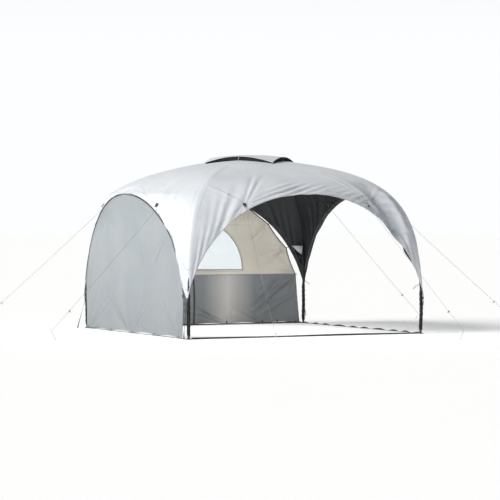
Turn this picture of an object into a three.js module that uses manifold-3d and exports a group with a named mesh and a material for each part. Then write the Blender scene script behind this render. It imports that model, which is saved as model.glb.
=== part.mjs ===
// Dome tarp shelter: two crossing pole arches, four arched openings, two of them closed by walls.
// Millimetres, +Z up, origin on the ground under the crown. The front opening faces -Y.
import * as THREE from "three";
import { mergeVertices } from "three/addons/utils/BufferGeometryUtils.js";
import Module from "manifold-3d";

const wasm = await Module();
wasm.setup();

// Driving dimensions
const HALF_SIDE = 1750;
const CROWN_HEIGHT = 2405;
const ARCH_FOOT_Z = 500;
const ARCH_TOP_Z = 1883;
// The crown opening and the vent cap are squares whose corners point to the middle of the sides
const CROWN_HALF = 466;
const NETTING_HALF = 454;
const CAP_HALF = 500;
const CAP_SEAT = 14;
const CAP_SLOT = 56;
const CAP_RISE = 30;
const PROP_R = 3;
const CLOTH = 2.5;
const GAP = 0.3;
const HIP_GAP = 8;
const ROOF_FULLNESS = 0.65;

// Poles: distance of their centre line inside the cloth, and the tube and rod sizes
const POLE_INSET = 36;
const LEG_R = 16.5;
const LEG_BORE_R = 15;
const ROD_R = 6.5;
const LEG_TOP_Z = 1180;
const FERRULE_LENGTH = 60;
const SPIGOT_LENGTH = 30;
const SPIGOT_R = 13.4;
const COLLAR_R = 18.5;
const COLLAR_HEIGHT = 12;
const SOCKET_R = 8.5;
const SOCKET_FLOOR = 22;
const SHOULDER_GAP = 1;
const HUB_R = 46;
const HUB_HALF = 13;
const HUB_EDGE = 4;

// Ground level pieces
const FOOT_R = 40;
const FOOT_H = 8;
const PIN_R = 11;
const PIN_H = 32;
const STRAP_WIDTH = 25;
const STRAP_THICKNESS = 2;
const WALL_LIFT = 6;

// Guy lines: tab on the arch seam, ground point, cord, slider and stake
const TAB_ALONG = 920;
const TAB_Z = 1730;
const GUY_OUT = 1650;
const GUY_ASIDE = 410;
const CORD_R = 2;
const STAKE_R = 3.5;
const STAKE_LENGTH = 180;
const STAKE_LEAN = THREE.MathUtils.degToRad(30);
const STAKE_HOLD = 150;
const STAKE_HOOK_R = 9;
const STAKE_HOOK_TURN = THREE.MathUtils.degToRad(200);
const TAB_WIDTH = 22;
const TAB_THICKNESS = 3;
const TAB_REACH = 34;
const TAB_ROOT = 12;
const SLIDER_HALF = 13;
const SLIDER_THICKNESS = 5;

// The left arch leans outwards, most at its top, and the wall pulls in the foot of its front branch
const LEFT_LEAN = 68;
const LEFT_LEAN_POWER = 1.85;
const LEFT_LEAN_FADE = 450;
const LEFT_LEAN_REACH = 550;
const LEFT_PULL = 170;
const LEFT_PULL_TOP = 1270;

// Walls: the left one hangs from a zip, the back one from toggles at [x, z], with an arched window
const WALL_INSET = 8;
const WALL_MAX_HALF = 1688;
const WALL_SIDE_Z = 560;
const LEFT_FRONT_FOOT = 1580;
const LEFT_REAR_FOOT = 1680;
const BACK_WALL_Y = HALF_SIDE - 12;
const BACK_FOOT = 1670;
const TOGGLES = [[1605, 725], [1450, 1120], [1155, 1470]];
const TOGGLE_R = 4;
const TOGGLE_LENGTH = 40;
const WINDOW_Z = 810;
const WINDOW_HALF = 720;
const WINDOW_RISE = 700;
const FILM_LAP = 15;
const FILM_THICKNESS = 1.2;
const LEFT_ZIP_Z = 545;
const BACK_ZIP_Z = 40;
const BACK_ZIP_X = -60;

const Z_AXIS = new THREE.Vector3(0, 0, 1);
const bend = (...points) => {
  const [start, leave, arrive, end] = points.map(([x, y]) => new THREE.Vector2(x, y));
  return new THREE.CubicBezierCurve(start, leave, arrive, end);
};
const FOOT_RADIUS = HALF_SIDE * Math.SQRT2;

// Half of a pole arch as the cloth follows it: x is the distance from the middle, y the height
const poleArch = bend([FOOT_RADIUS, 0], [2578, 2086], [1893, 2195], [0, CROWN_HEIGHT]);
// Half of an opening's edge: x is the distance from its middle, y the height
const openingArch = bend(
  [HALF_SIDE + 7, ARCH_FOOT_Z], [1644, 1053], [1122, ARCH_TOP_Z], [0, ARCH_TOP_Z]);

// Value between low and high up to which a test holds
function lastWhere(low, high, test) {
  let [from, to] = [low, high];
  for (let i = 0; i < 40; i += 1) {
    const middle = (from + to) / 2;
    if (test(middle)) from = middle;
    else to = middle;
  }
  return (from + to) / 2;
}
// Parameter at which a rising curve reaches a height
const paramAt = (curve, height) => lastWhere(0, 1, (t) => curve.getPoint(t).y < height);
const widthAt = (curve, height) => curve.getPoint(paramAt(curve, height)).x;
const cornerAt = (z) => widthAt(poleArch, z) / Math.SQRT2;
const openingAt = (z) => widthAt(openingArch, z);

// Height of the pole arch at a distance from the middle
const heightAt = (radius) => poleArch.getPoint(lastWhere(0.5, 1, (t) => poleArch.getPoint(t).x > radius)).y;

// How far the cloth stands out beyond the straight line between two poles, at mid-side
function fullnessAt(z) {
  const corner = cornerAt(Math.min(z, ARCH_TOP_Z));
  if (z <= ARCH_TOP_Z) {
    const share = openingAt(z) / corner;
    return Math.max(0, (HALF_SIDE - corner) / (1 - share * share));
  }
  const climb = (z - ARCH_TOP_Z) / (CROWN_HEIGHT - ARCH_TOP_Z);
  return (HALF_SIDE - corner) * Math.pow(1 - climb, ROOF_FULLNESS);
}

// Point of the front canopy panel: share runs from -1 at the left pole to 1 at the right one
function panelPoint(share, z) {
  const corner = cornerAt(z);
  const out = corner + fullnessAt(z) * (1 - share * share);
  return new THREE.Vector3(share * corner, -out, z);
}

// How far the left panel stands out beyond the plain one, at a height and a distance from its hip
function leanAt(z, hipDistance = LEFT_LEAN_REACH) {
  const edge = z < ARCH_TOP_Z ? cornerAt(z) - openingAt(z) : LEFT_LEAN_REACH;
  const reach = Math.max(1, Math.min(LEFT_LEAN_REACH, edge));
  const free = Math.pow(Math.min(1, hipDistance / reach), 0.7);
  const over = Math.min(1, Math.max(0, (z - ARCH_TOP_Z) / LEFT_LEAN_FADE));
  return LEFT_LEAN * Math.pow(Math.min(1, z / ARCH_TOP_Z), LEFT_LEAN_POWER) * Math.pow(1 - over, 1.5) * free;
}
const pullAt = (z) => LEFT_PULL * Math.pow(Math.max(0, 1 - z / LEFT_PULL_TOP), 0.7);

// Height of the opening's edge on the panel line of one share
const edgeHeight = (share) => lastWhere(
  ARCH_FOOT_Z + 1, ARCH_TOP_Z, (z) => openingAt(z) > Math.abs(share) * cornerAt(z));

// Height of the crown opening's edge on the panel line of one share
function crownHeight(share) {
  const reach = (z) => {
    const point = panelPoint(share, z);
    return Math.abs(point.x) - point.y;
  };
  return lastWhere(ARCH_TOP_Z, CROWN_HEIGHT, (z) => reach(z) > CROWN_HALF * Math.SQRT2);
}

// Height of the roof over a point near the crown
function roofHeight(x, y) {
  const out = Math.max(Math.abs(x), Math.abs(y));
  const aside = Math.min(Math.abs(x), Math.abs(y));
  return lastWhere(ARCH_TOP_Z, CROWN_HEIGHT - 0.01, (z) => {
    const share = Math.min(1, aside / cornerAt(z));
    return cornerAt(z) + fullnessAt(z) * (1 - share * share) > out;
  });
}

// Closed sheet of even thickness behind a grid of points (rows of Vector3)
function sheetSolid(rows, thickness) {
  const [m, n] = [rows.length, rows[0].length];
  const at = (i, j) => rows[Math.max(0, Math.min(m - 1, i))][Math.max(0, Math.min(n - 1, j))];
  const behind = rows.map((row, i) => row.map((point, j) => {
    const across = new THREE.Vector3().subVectors(at(i, j + 1), at(i, j - 1));
    const up = new THREE.Vector3().subVectors(at(i + 1, j), at(i - 1, j));
    return across.cross(up).normalize().multiplyScalar(-thickness).add(point);
  }));
  const positions = [...rows.flat(), ...behind.flat()].flatMap((p) => p.toArray());
  const front = (i, j) => i * n + j;
  const back = (i, j) => m * n + i * n + j;
  const index = [];
  const quad = (a, b, c, d) => index.push(a, b, c, a, c, d);
  for (let i = 0; i < m - 1; i += 1) {
    for (let j = 0; j < n - 1; j += 1) {
      quad(front(i, j), front(i, j + 1), front(i + 1, j + 1), front(i + 1, j));
      quad(back(i, j), back(i + 1, j), back(i + 1, j + 1), back(i, j + 1));
    }
  }
  for (let j = 0; j < n - 1; j += 1) {
    quad(front(0, j), back(0, j), back(0, j + 1), front(0, j + 1));
    quad(front(m - 1, j), front(m - 1, j + 1), back(m - 1, j + 1), back(m - 1, j));
  }
  for (let i = 0; i < m - 1; i += 1) {
    quad(front(i, 0), front(i + 1, 0), back(i + 1, 0), back(i, 0));
    quad(front(i, n - 1), back(i, n - 1), back(i + 1, n - 1), front(i + 1, n - 1));
  }
  const geometry = new THREE.BufferGeometry();
  geometry.setAttribute("position", new THREE.Float32BufferAttribute(positions, 3));
  geometry.setIndex(index);
  return geometry;
}

// manifold-3d solid of a placed geometry, and back
function toSolid(geometry) {
  const plain = geometry.clone();
  plain.deleteAttribute("normal");
  plain.deleteAttribute("uv");
  const merged = mergeVertices(plain, 1e-3);
  return new wasm.Manifold(new wasm.Mesh({
    numProp: 3,
    vertProperties: new Float32Array(merged.attributes.position.array),
    triVerts: new Uint32Array(merged.index.array),
  }));
}
function toGeometry(solid) {
  const mesh = solid.getMesh();
  const geometry = new THREE.BufferGeometry();
  geometry.setAttribute("position", new THREE.Float32BufferAttribute(mesh.vertProperties, 3));
  geometry.setIndex(Array.from(mesh.triVerts));
  return geometry;
}
const UNIT_SCALE = new THREE.Vector3(1, 1, 1);
const placed = (geometry, position, quaternion = new THREE.Quaternion()) =>
  geometry.clone().applyMatrix4(new THREE.Matrix4().compose(position, quaternion, UNIT_SCALE));

// Materials
const look = (color, roughness, metalness = 0) =>
  new THREE.MeshStandardMaterial({ color, roughness, metalness, side: THREE.DoubleSide });
const materials = {
  canopy: look(0xd4d9db, 0.6),
  cap: look(0xdadfe1, 0.6),
  netting: look(0x26292b, 0.9),
  leftWall: look(0xb4bcbf, 0.65),
  backWall: look(0x9a9a96, 0.7),
  film: look(0xe8eef0, 0.15),
  steel: look(0x1b1c1e, 0.45, 0.4),
  rod: look(0x222426, 0.5),
  plastic: look(0x17181a, 0.5),
  webbing: look(0x1d1e20, 0.85),
  cord: look(0xc9ccca, 0.7),
  stake: look(0x9aa0a4, 0.4, 0.8),
};

const shelter = new THREE.Group();
function add(name, geometry, material, parent = shelter) {
  const mesh = new THREE.Mesh(geometry, material);
  mesh.name = name;
  parent.add(mesh);
  return mesh;
}

// Curve through the middle of a pole, inside the cloth, in the plane of its corner
class PoleLine extends THREE.Curve {
  constructor(direction, from, to) {
    super();
    Object.assign(this, { direction, from, to });
  }

  getPoint(share, target = new THREE.Vector3()) {
    const t = this.from + (this.to - this.from) * share;
    const point = poleArch.getPoint(t);
    const along = poleArch.getTangent(t);
    const radius = point.x - along.y * POLE_INSET;
    const height = point.y + along.x * POLE_INSET;
    return target.set(radius * this.direction.x, radius * this.direction.y, height);
  }
}

const disc = (radius, holeRadius = 0, facets = 12) => {
  const shape = new THREE.Shape();
  const ring = (r) => Array.from({ length: facets }, (_, i) => {
    const angle = (i / facets) * 2 * Math.PI;
    return new THREE.Vector2(r * Math.cos(angle), r * Math.sin(angle));
  });
  shape.setFromPoints(ring(radius));
  if (holeRadius > 0) shape.holes.push(new THREE.Path(ring(holeRadius).reverse()));
  return shape;
};
const tube = (curve, shape, steps) =>
  new THREE.ExtrudeGeometry(shape, { extrudePath: curve, steps, bevelEnabled: false });

// Lathe whose own axis is +Z, from a profile of [radius, height]
function turned(profile, facets = 16) {
  const points = profile.map(([r, z]) => new THREE.Vector2(r, z));
  return new THREE.LatheGeometry(points, facets).rotateX(Math.PI / 2);
}

// Leg tube, ferrule, roof rod and foot of one corner
const legTop = paramAt(poleArch, LEG_TOP_Z);
const legFoot = paramAt(poleArch, FOOT_H + 2);
const LEG_STEPS = 8;
// Parameter step that moves the given distance along the pole arch
const paramStep = (t, distance) =>
  (distance * 0.001) / poleArch.getPoint(t).distanceTo(poleArch.getPoint(t - 0.001));
const rodStart = legTop + paramStep(legTop, FERRULE_LENGTH * 0.5);
const rodEnd = 1 - paramStep(1, HUB_R * 0.45);

function addCorner(name, signX, signY) {
  const direction = new THREE.Vector2(signX, signY).normalize();
  const legLine = new PoleLine(direction, legFoot, legTop);
  const rodLine = new PoleLine(direction, rodStart, rodEnd);
  add(`leg_${name}`, tube(legLine, disc(LEG_R, LEG_BORE_R), LEG_STEPS), materials.steel);
  add(`roof_rod_${name}`, tube(rodLine, disc(ROD_R, 0, 8), 24), materials.rod);

  const profile = [
    [0, -SPIGOT_LENGTH], [SPIGOT_R - 2, -SPIGOT_LENGTH], [SPIGOT_R, 2 - SPIGOT_LENGTH],
    [SPIGOT_R, SHOULDER_GAP], [COLLAR_R, SHOULDER_GAP], [COLLAR_R, COLLAR_HEIGHT],
    [SOCKET_R + 2, FERRULE_LENGTH], [SOCKET_R, FERRULE_LENGTH], [SOCKET_R, SOCKET_FLOOR], [0, SOCKET_FLOOR],
  ];
  const ferrule = add(`ferrule_${name}`, turned(profile), materials.steel);
  const top = legLine.getPoint(1);
  const rise = new THREE.Vector3().subVectors(top, legLine.getPoint(0.99)).normalize();
  ferrule.position.copy(top);
  ferrule.quaternion.setFromUnitVectors(Z_AXIS, rise);

  const base = legLine.getPoint(0);
  const footProfile = [
    [0, 0], [FOOT_R, 0], [FOOT_R, FOOT_H - 3], [FOOT_R - 3, FOOT_H], [PIN_R, FOOT_H],
    [PIN_R, PIN_H - 3], [PIN_R - 3, PIN_H], [0, PIN_H],
  ];
  const foot = add(`foot_${name}`, turned(footProfile, 24), materials.plastic);
  foot.position.set(base.x, base.y, 0);
  return rodLine;
}

const corners = [
  ["front_left", -1, -1], ["front_right", 1, -1], ["rear_right", 1, 1], ["rear_left", -1, 1],
];
const rodLines = corners.map((corner) => addCorner(...corner));

// Crown hub: a puck with a blind socket for each roof rod
const hubZ = CROWN_HEIGHT - POLE_INSET;
const hubProfile = [
  [0, -HUB_HALF], [HUB_R, -HUB_HALF], [HUB_R, HUB_HALF - HUB_EDGE], [HUB_R - HUB_EDGE, HUB_HALF], [0, HUB_HALF],
];
const hubPuck = placed(turned(hubProfile, 24), new THREE.Vector3(0, 0, hubZ));
const hub = rodLines.reduce((solid, line) => {
  const inner = line.getPoint(1);
  const outward = new THREE.Vector3().subVectors(line.getPoint(0.98), inner).normalize();
  const length = 2 * HUB_R;
  const socket = new THREE.CylinderGeometry(ROD_R + 1, ROD_R + 1, length, 10).rotateX(Math.PI / 2);
  const turn = new THREE.Quaternion().setFromUnitVectors(Z_AXIS, outward);
  const start = inner.clone().addScaledVector(outward, length / 2 - SHOULDER_GAP - 0.5);
  return solid.subtract(toSolid(placed(socket, start, turn)));
}, toSolid(hubPuck));
add("crown_hub", toGeometry(hub), materials.plastic);

// Ground webbing from foot to foot
const footCentre = new PoleLine(new THREE.Vector2(1, 1).normalize(), legFoot, legTop).getPoint(0).x;
const strapLength = 2 * (footCentre - FOOT_R - 1);
const sides = [["front", 0], ["right", 1], ["rear", 2], ["left", 3]];
for (const [name, quarter] of sides) {
  const strap = add(`ground_strap_${name}`,
    new THREE.BoxGeometry(strapLength, STRAP_WIDTH, STRAP_THICKNESS), materials.webbing);
  strap.position.set(0, -footCentre, STRAP_THICKNESS / 2).applyAxisAngle(Z_AXIS, (quarter * Math.PI) / 2);
  strap.rotation.z = (quarter * Math.PI) / 2;
}

// Guy line of the front side at its right hand tab; handed -1 mirrors it to the left hand tab
function guyFrame(handed, leans = false) {
  const corner = cornerAt(TAB_Z);
  const tab = panelPoint((TAB_ALONG / corner) * handed, TAB_Z);
  if (leans) tab.y -= leanAt(TAB_Z);
  const ground = new THREE.Vector3((TAB_ALONG + GUY_ASIDE) * handed, -(HALF_SIDE + GUY_OUT), 0);
  const away = new THREE.Vector3(GUY_ASIDE * handed, -GUY_OUT, 0).normalize();
  const stake = away.clone().multiplyScalar(Math.sin(STAKE_LEAN));
  stake.z = Math.cos(STAKE_LEAN);
  const hold = ground.clone().addScaledVector(stake, STAKE_HOLD);
  const along = new THREE.Vector3().subVectors(hold, tab).normalize();
  return { tab, ground, away, stake, hold, along };
}

// One canopy panel, drawn as the front one: a grid from the opening's edge up to the crown
function canopyPanel(leans) {
  const columns = 30;
  const levels = 7;
  const shares = Array.from({ length: columns + 1 }, (_, i) => Math.sin((i / columns - 0.5) * Math.PI * 0.93)
    / Math.sin(Math.PI * 0.465));
  const rows = [];
  for (let level = 0; level <= levels; level += 1) {
    rows.push(shares.map((share) => {
      const low = edgeHeight(share * 0.985);
      const bottom = paramAt(poleArch, low);
      const top = paramAt(poleArch, crownHeight(share));
      const z = poleArch.getPoint(bottom + ((top - bottom) * level) / levels).y;
      const inset = 1 - HIP_GAP / cornerAt(z);
      const point = panelPoint(share * inset, z);
      if (leans) point.y -= leanAt(z, cornerAt(z) - Math.abs(point.x));
      return point;
    }));
  }
  let solid = toSolid(sheetSolid(rows, CLOTH));
  for (const handed of [-1, 1]) {
    const { tab, along } = guyFrame(handed, leans);
    const loop = new THREE.BoxGeometry(TAB_WIDTH, TAB_THICKNESS, TAB_REACH + TAB_ROOT)
      .translate(0, 0, (TAB_REACH - TAB_ROOT) / 2);
    const turn = new THREE.Quaternion().setFromUnitVectors(Z_AXIS, along);
    solid = solid.add(toSolid(placed(loop, tab, turn)));
  }
  return toGeometry(solid);
}
const plainPanel = canopyPanel(false);
for (const [name, quarter] of sides) {
  const geometry = name === "left" ? canopyPanel(true) : plainPanel;
  const panel = add(`canopy_${name}`, geometry, materials.canopy);
  panel.rotation.z = (quarter * Math.PI) / 2;
}

// Crown netting under the vent cap, and the cap itself: squares turned by an eighth
function squareSheet(half, divisions, heightFor, thickness) {
  const place = (i) => half * ((2 * i) / divisions - 1);
  const steps = Array.from({ length: divisions + 1 }, (_, i) => place(i));
  const rows = steps.map((y) => steps.map((x) => new THREE.Vector3(x, y, heightFor(x, y))));
  return sheetSolid(rows, thickness).rotateZ(Math.PI / 4);
}
const nettingHeight = (x, y) => roofHeight((x - y) / Math.SQRT2, (x + y) / Math.SQRT2) - 1;
add("crown_netting", squareSheet(NETTING_HALF, 8, nettingHeight, 2), materials.netting);

const capCorner = roofHeight(0, CAP_HALF * Math.SQRT2) + CAP_SEAT;
const capLift = heightAt(CAP_HALF) + CAP_SLOT - capCorner;
function capHeight(x, y) {
  const [u, v] = [(x / CAP_HALF) ** 2, (y / CAP_HALF) ** 2];
  return capCorner + capLift * (1 - u * v) + CAP_RISE * (1 - u) * (1 - v);
}
add("vent_cap", squareSheet(CAP_HALF, 8, capHeight, CLOTH), materials.cap);

// Props that hold the cap's edges up, one over each pole
const propFootY = CROWN_HALF + 6;
const propFoot = new THREE.Vector3(-9, -propFootY, heightAt(propFootY) + 6);
const propHeadY = CAP_HALF - 12;
const propHead = new THREE.Vector3(9, -propHeadY, capHeight(0, propHeadY) - 5.5);
corners.forEach(([name], i) => {
  const rod = tube(new THREE.LineCurve3(propFoot, propHead), disc(PROP_R, 0, 8), 1);
  const prop = add(`vent_prop_${name}`, rod, materials.film);
  prop.rotation.z = (i - 0.5) * (Math.PI / 2);
});

// Left wall: a sheet in the left opening, hung from a zip along the arch and leaning with it,
// drawn as if in the front opening
const frontEdgeAt = (z) => Math.min(WALL_MAX_HALF, openingAt(z) - WALL_INSET - pullAt(z));
function leftWall() {
  const low = paramAt(openingArch, WALL_SIDE_Z);
  const arch = Array.from({ length: 15 }, (_, i) => {
    const point = openingArch.getPoint(low + (0.985 - low) * (i / 14));
    const rear = Math.min(WALL_MAX_HALF, point.x - WALL_INSET);
    return [rear, Math.min(rear, point.x - WALL_INSET - pullAt(point.y)), point.y - WALL_INSET * (i / 14)];
  });
  const [sideRear, sideFront] = arch[0];
  const foot = [0, 1 / 3, 2 / 3].map((share) => [
    LEFT_REAR_FOOT + (sideRear - LEFT_REAR_FOOT) * share,
    LEFT_FRONT_FOOT + (sideFront - LEFT_FRONT_FOOT) * share,
    WALL_LIFT + (WALL_SIDE_Z - WALL_LIFT) * share,
  ]);
  const across = Array.from({ length: 9 }, (_, i) => i / 8);
  const rows = [...foot, ...arch].map(([rear, front, z]) => across.map((share) =>
    new THREE.Vector3(-rear + (rear + front) * share, -HALF_SIDE - leanAt(z), z)));
  return sheetSolid(rows, CLOTH);
}
add("left_wall", leftWall(), materials.leftWall).rotation.z = -Math.PI / 2;

// Back wall: hung inside the rear arch from toggles, with an arched window
function halfEllipse(path, half, rise, z) {
  const points = Array.from({ length: 17 }, (_, i) => {
    const angle = (i / 16) * Math.PI;
    return new THREE.Vector2(half * Math.cos(angle), z + rise * Math.sin(angle));
  });
  path.setFromPoints(points);
  return path;
}
function backWallShape() {
  const shape = new THREE.Shape();
  const edge = [
    [BACK_FOOT, WALL_LIFT], [BACK_FOOT - 30, 380], TOGGLES[0], [1525, 900], TOGGLES[1],
    [1300, 1265], TOGGLES[2], [850, 1690], [430, 1795],
  ];
  edge.forEach(([x, z], i) => (i ? shape.lineTo(x, z) : shape.moveTo(x, z)));
  shape.lineTo(0, 1825);
  edge.reverse().forEach(([x, z]) => shape.lineTo(-x, z));
  shape.holes.push(halfEllipse(new THREE.Path(), WINDOW_HALF, WINDOW_RISE, WINDOW_Z));
  return shape;
}
const upright = (shape, depth) =>
  new THREE.ExtrudeGeometry(shape, { depth, bevelEnabled: false }).rotateX(Math.PI / 2);
const back = add("back_wall", upright(backWallShape(), CLOTH), materials.backWall);
back.position.y = BACK_WALL_Y + CLOTH;

const filmShape = halfEllipse(
  new THREE.Shape(), WINDOW_HALF + FILM_LAP, WINDOW_RISE + FILM_LAP, WINDOW_Z - FILM_LAP);
const film = add("window_film", upright(filmShape, FILM_THICKNESS), materials.film);
film.position.y = BACK_WALL_Y - GAP;

const toggleNames = ["lower", "middle", "upper"];
for (const [side, sign] of [["left", -1], ["right", 1]]) {
  TOGGLES.forEach(([x, z], i) => {
    const toggle = add(`wall_toggle_${side}_${toggleNames[i]}`,
      new THREE.CapsuleGeometry(TOGGLE_R, TOGGLE_LENGTH, 3, 8).rotateZ(Math.PI / 2), materials.plastic);
    toggle.position.set(sign * (x + TOGGLE_R), BACK_WALL_Y - TOGGLE_R - GAP, z);
    toggle.rotation.y = -sign * Math.atan2(x, 2600 - z) * 0.35;
  });
}

// Zip sliders: one at the foot of the left wall's zip, one at the foot of the back wall's middle zip
function zipSlider() {
  const body = new THREE.Shape();
  body.moveTo(-5, 0);
  body.lineTo(5, 0);
  body.lineTo(8, 16);
  body.lineTo(4, 24);
  body.lineTo(-4, 24);
  body.lineTo(-8, 16);
  body.closePath();
  return upright(body, 6);
}
const leftZip = add("left_zip_slider", zipSlider(), materials.plastic);
leftZip.rotation.z = -Math.PI / 2;
leftZip.position.set(-HALF_SIDE - leanAt(LEFT_ZIP_Z + 24) - 1.5, -(frontEdgeAt(LEFT_ZIP_Z) - 18), LEFT_ZIP_Z);
const backZip = add("back_zip_slider", zipSlider(), materials.plastic);
backZip.position.set(BACK_ZIP_X, BACK_WALL_Y - GAP, BACK_ZIP_Z);

// Guy lines: cord, slider and stake, each drawn in its own side's frame
function sliderShape() {
  const shape = new THREE.Shape();
  shape.absarc(SLIDER_HALF, 0, 7, -Math.PI / 2, Math.PI / 2, false);
  shape.absarc(-SLIDER_HALF, 0, 7, Math.PI / 2, (3 * Math.PI) / 2, false);
  for (const x of [-SLIDER_HALF, SLIDER_HALF]) {
    shape.holes.push(new THREE.Path().absarc(x, 0, CORD_R + 0.6, 0, 2 * Math.PI, true));
  }
  return shape;
}
// Rod along straight stretches, with a section at every point
function rodThrough(points, radius, facets) {
  const rings = points.map((point, i) => {
    const before = points[Math.max(0, i - 1)];
    const after = points[Math.min(points.length - 1, i + 1)];
    const along = new THREE.Vector3().subVectors(after, before).normalize();
    const up = new THREE.Vector3(0, 1, 0);
    const aside = new THREE.Vector3().crossVectors(along, up).normalize();
    return Array.from({ length: facets }, (_, k) => {
      const angle = (k / facets) * 2 * Math.PI;
      return point.clone().addScaledVector(aside, radius * Math.cos(angle))
        .addScaledVector(up, radius * Math.sin(angle));
    });
  });
  const positions = rings.flat().flatMap((p) => p.toArray());
  const index = [];
  const at = (ring, k) => ring * facets + (k % facets);
  for (let ring = 0; ring < rings.length - 1; ring += 1) {
    for (let k = 0; k < facets; k += 1) {
      index.push(at(ring, k), at(ring + 1, k), at(ring + 1, k + 1));
      index.push(at(ring, k), at(ring + 1, k + 1), at(ring, k + 1));
    }
  }
  const last = rings.length - 1;
  for (let k = 1; k < facets - 1; k += 1) {
    index.push(at(0, 0), at(0, k), at(0, k + 1));
    index.push(at(last, 0), at(last, k + 1), at(last, k));
  }
  const geometry = new THREE.BufferGeometry();
  geometry.setAttribute("position", new THREE.Float32BufferAttribute(positions, 3));
  geometry.setIndex(index);
  return geometry;
}
function stakeGeometry() {
  const points = [new THREE.Vector3(0, 0, 2.2)];
  for (let i = 0; i <= 8; i += 1) {
    const angle = (i / 8) * STAKE_HOOK_TURN;
    const reach = STAKE_HOOK_R - STAKE_HOOK_R * Math.cos(angle);
    points.push(new THREE.Vector3(reach, 0, STAKE_LENGTH + STAKE_HOOK_R * Math.sin(angle)));
  }
  return rodThrough(points, STAKE_R, 8);
}

function addGuy(name, quarter, handed, share) {
  const leans = name.startsWith("left");
  const frame = new THREE.Group();
  frame.rotation.z = (quarter * Math.PI) / 2;
  shelter.add(frame);
  const { tab, ground, away, stake, hold, along } = guyFrame(handed, leans);
  const start = tab.clone().addScaledVector(along, TAB_REACH + GAP);
  const end = hold.clone().addScaledVector(along, -(STAKE_R + CORD_R + 1));
  add(`guy_${name}`, tube(new THREE.LineCurve3(start, end), disc(CORD_R, 0, 8), 1), materials.cord, frame);

  const slider = add(`guy_slider_${name}`,
    new THREE.ExtrudeGeometry(
      sliderShape(), { depth: SLIDER_THICKNESS, bevelEnabled: false, curveSegments: 6 }),
    materials.plastic, frame);
  const across = new THREE.Vector3().crossVectors(along, Z_AXIS).normalize();
  const below = new THREE.Vector3().crossVectors(along, across).normalize();
  const basis = new THREE.Matrix4().makeBasis(below, new THREE.Vector3().crossVectors(along, below), along);
  slider.quaternion.setFromRotationMatrix(basis);
  slider.position.copy(start).lerp(end, share).addScaledVector(below, SLIDER_HALF);

  const peg = add(`stake_${name}`, stakeGeometry(), materials.stake, frame);
  const sideways = new THREE.Vector3().crossVectors(stake, away).normalize();
  const outward = new THREE.Vector3().crossVectors(sideways, stake);
  peg.quaternion.setFromRotationMatrix(new THREE.Matrix4().makeBasis(outward, sideways, stake));
  peg.position.copy(ground);
}
const guys = [
  ["front_left", 0, -1, 0.75], ["front_right", 0, 1, 0.85],
  ["right_front", 1, -1, 0.83], ["right_rear", 1, 1, 0.82],
  ["left_rear", 3, -1, 0.83], ["left_front", 3, 1, 0.84],
];
guys.forEach((guy) => addGuy(...guy));

export default shelter;
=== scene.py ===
import math

import bmesh
import bpy
import numpy as np
from mathutils import Matrix, Vector, noise


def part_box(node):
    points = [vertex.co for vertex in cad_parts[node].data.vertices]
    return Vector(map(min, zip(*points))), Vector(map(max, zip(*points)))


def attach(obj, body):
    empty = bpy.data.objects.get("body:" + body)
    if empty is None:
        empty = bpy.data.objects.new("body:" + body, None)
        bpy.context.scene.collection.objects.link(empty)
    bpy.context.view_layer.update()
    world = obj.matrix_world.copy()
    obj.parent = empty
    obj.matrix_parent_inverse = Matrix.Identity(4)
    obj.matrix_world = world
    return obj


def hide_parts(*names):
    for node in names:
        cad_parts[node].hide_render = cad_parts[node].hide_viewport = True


# Looks of the dome tarp shelter: cloth, webbing, cords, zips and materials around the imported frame.
# Metres, +Z up, the open front faces -Y.
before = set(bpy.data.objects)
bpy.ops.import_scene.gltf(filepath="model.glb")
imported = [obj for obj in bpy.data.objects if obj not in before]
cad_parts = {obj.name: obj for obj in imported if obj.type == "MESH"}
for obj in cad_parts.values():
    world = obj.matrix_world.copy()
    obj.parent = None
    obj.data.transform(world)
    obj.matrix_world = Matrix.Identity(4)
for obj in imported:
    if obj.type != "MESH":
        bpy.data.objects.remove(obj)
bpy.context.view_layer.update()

# ---------------------------------------------------------------- driving sizes, as in the frame
HALF_SIDE = 1.75
CROWN_HEIGHT = 2.405
ARCH_FOOT_Z = 0.5
ARCH_TOP_Z = 1.883
ROOF_FULLNESS = 0.65
CROWN_HALF = 0.466
CAP_HALF = 0.5
CAP_SEAT = 0.014
CAP_SLOT = 0.056
CAP_RISE = 0.03
POLE_INSET = 0.036
SLEEVE_R = 0.0235
TAB_ALONG = 0.92
TAB_Z = 1.73
TAB_REACH = 0.034
GUY_OUT = 1.65
GUY_ASIDE = 0.41
CORD_R = 0.002
STAKE_R = 0.0035
STAKE_LEAN = math.radians(30)
STAKE_HOLD = 0.15
WALL_LIFT = 0.006
WALL_INSET = 0.008
WALL_MAX_HALF = 1.688
LEFT_FRONT_FOOT = 1.58
LEFT_REAR_FOOT = 1.68
WALL_SIDE_Z = 0.56
BACK_WALL_Y = 1.738
BACK_FOOT = 1.67
BACK_ZIP_X = -0.06
TOGGLES = ((1.605, 0.725), (1.45, 1.12), (1.155, 1.47))
WINDOW_Z = 0.81
WINDOW_HALF = 0.72
WINDOW_RISE = 0.7
WINDOW_MIDDLE = (0.0, 1.12)
LOW_SEAM = 0.735
HIGH_SEAM = 1.464
ARCH_TAPE = 0.055
VALANCE = 0.085
LEFT_LEAN = 0.13
LEFT_LEAN_POWER = 2.4
TAB_LEAN = 0.0581
LEFT_LEAN_FADE = 0.45
LEFT_LEAN_REACH = 0.55
LEFT_PULL = 0.17
LEFT_PULL_TOP = 1.27
SIDES = (("front", 0), ("right", 1), ("rear", 2), ("left", 3))
CORNERS = (("front_left", -1, -1), ("front_right", 1, -1), ("rear_right", 1, 1), ("rear_left", -1, 1))
GUYS = (("front_left", 0, -1), ("front_right", 0, 1), ("right_front", 1, -1),
        ("right_rear", 1, 1), ("left_rear", 3, -1), ("left_front", 3, 1))

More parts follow.
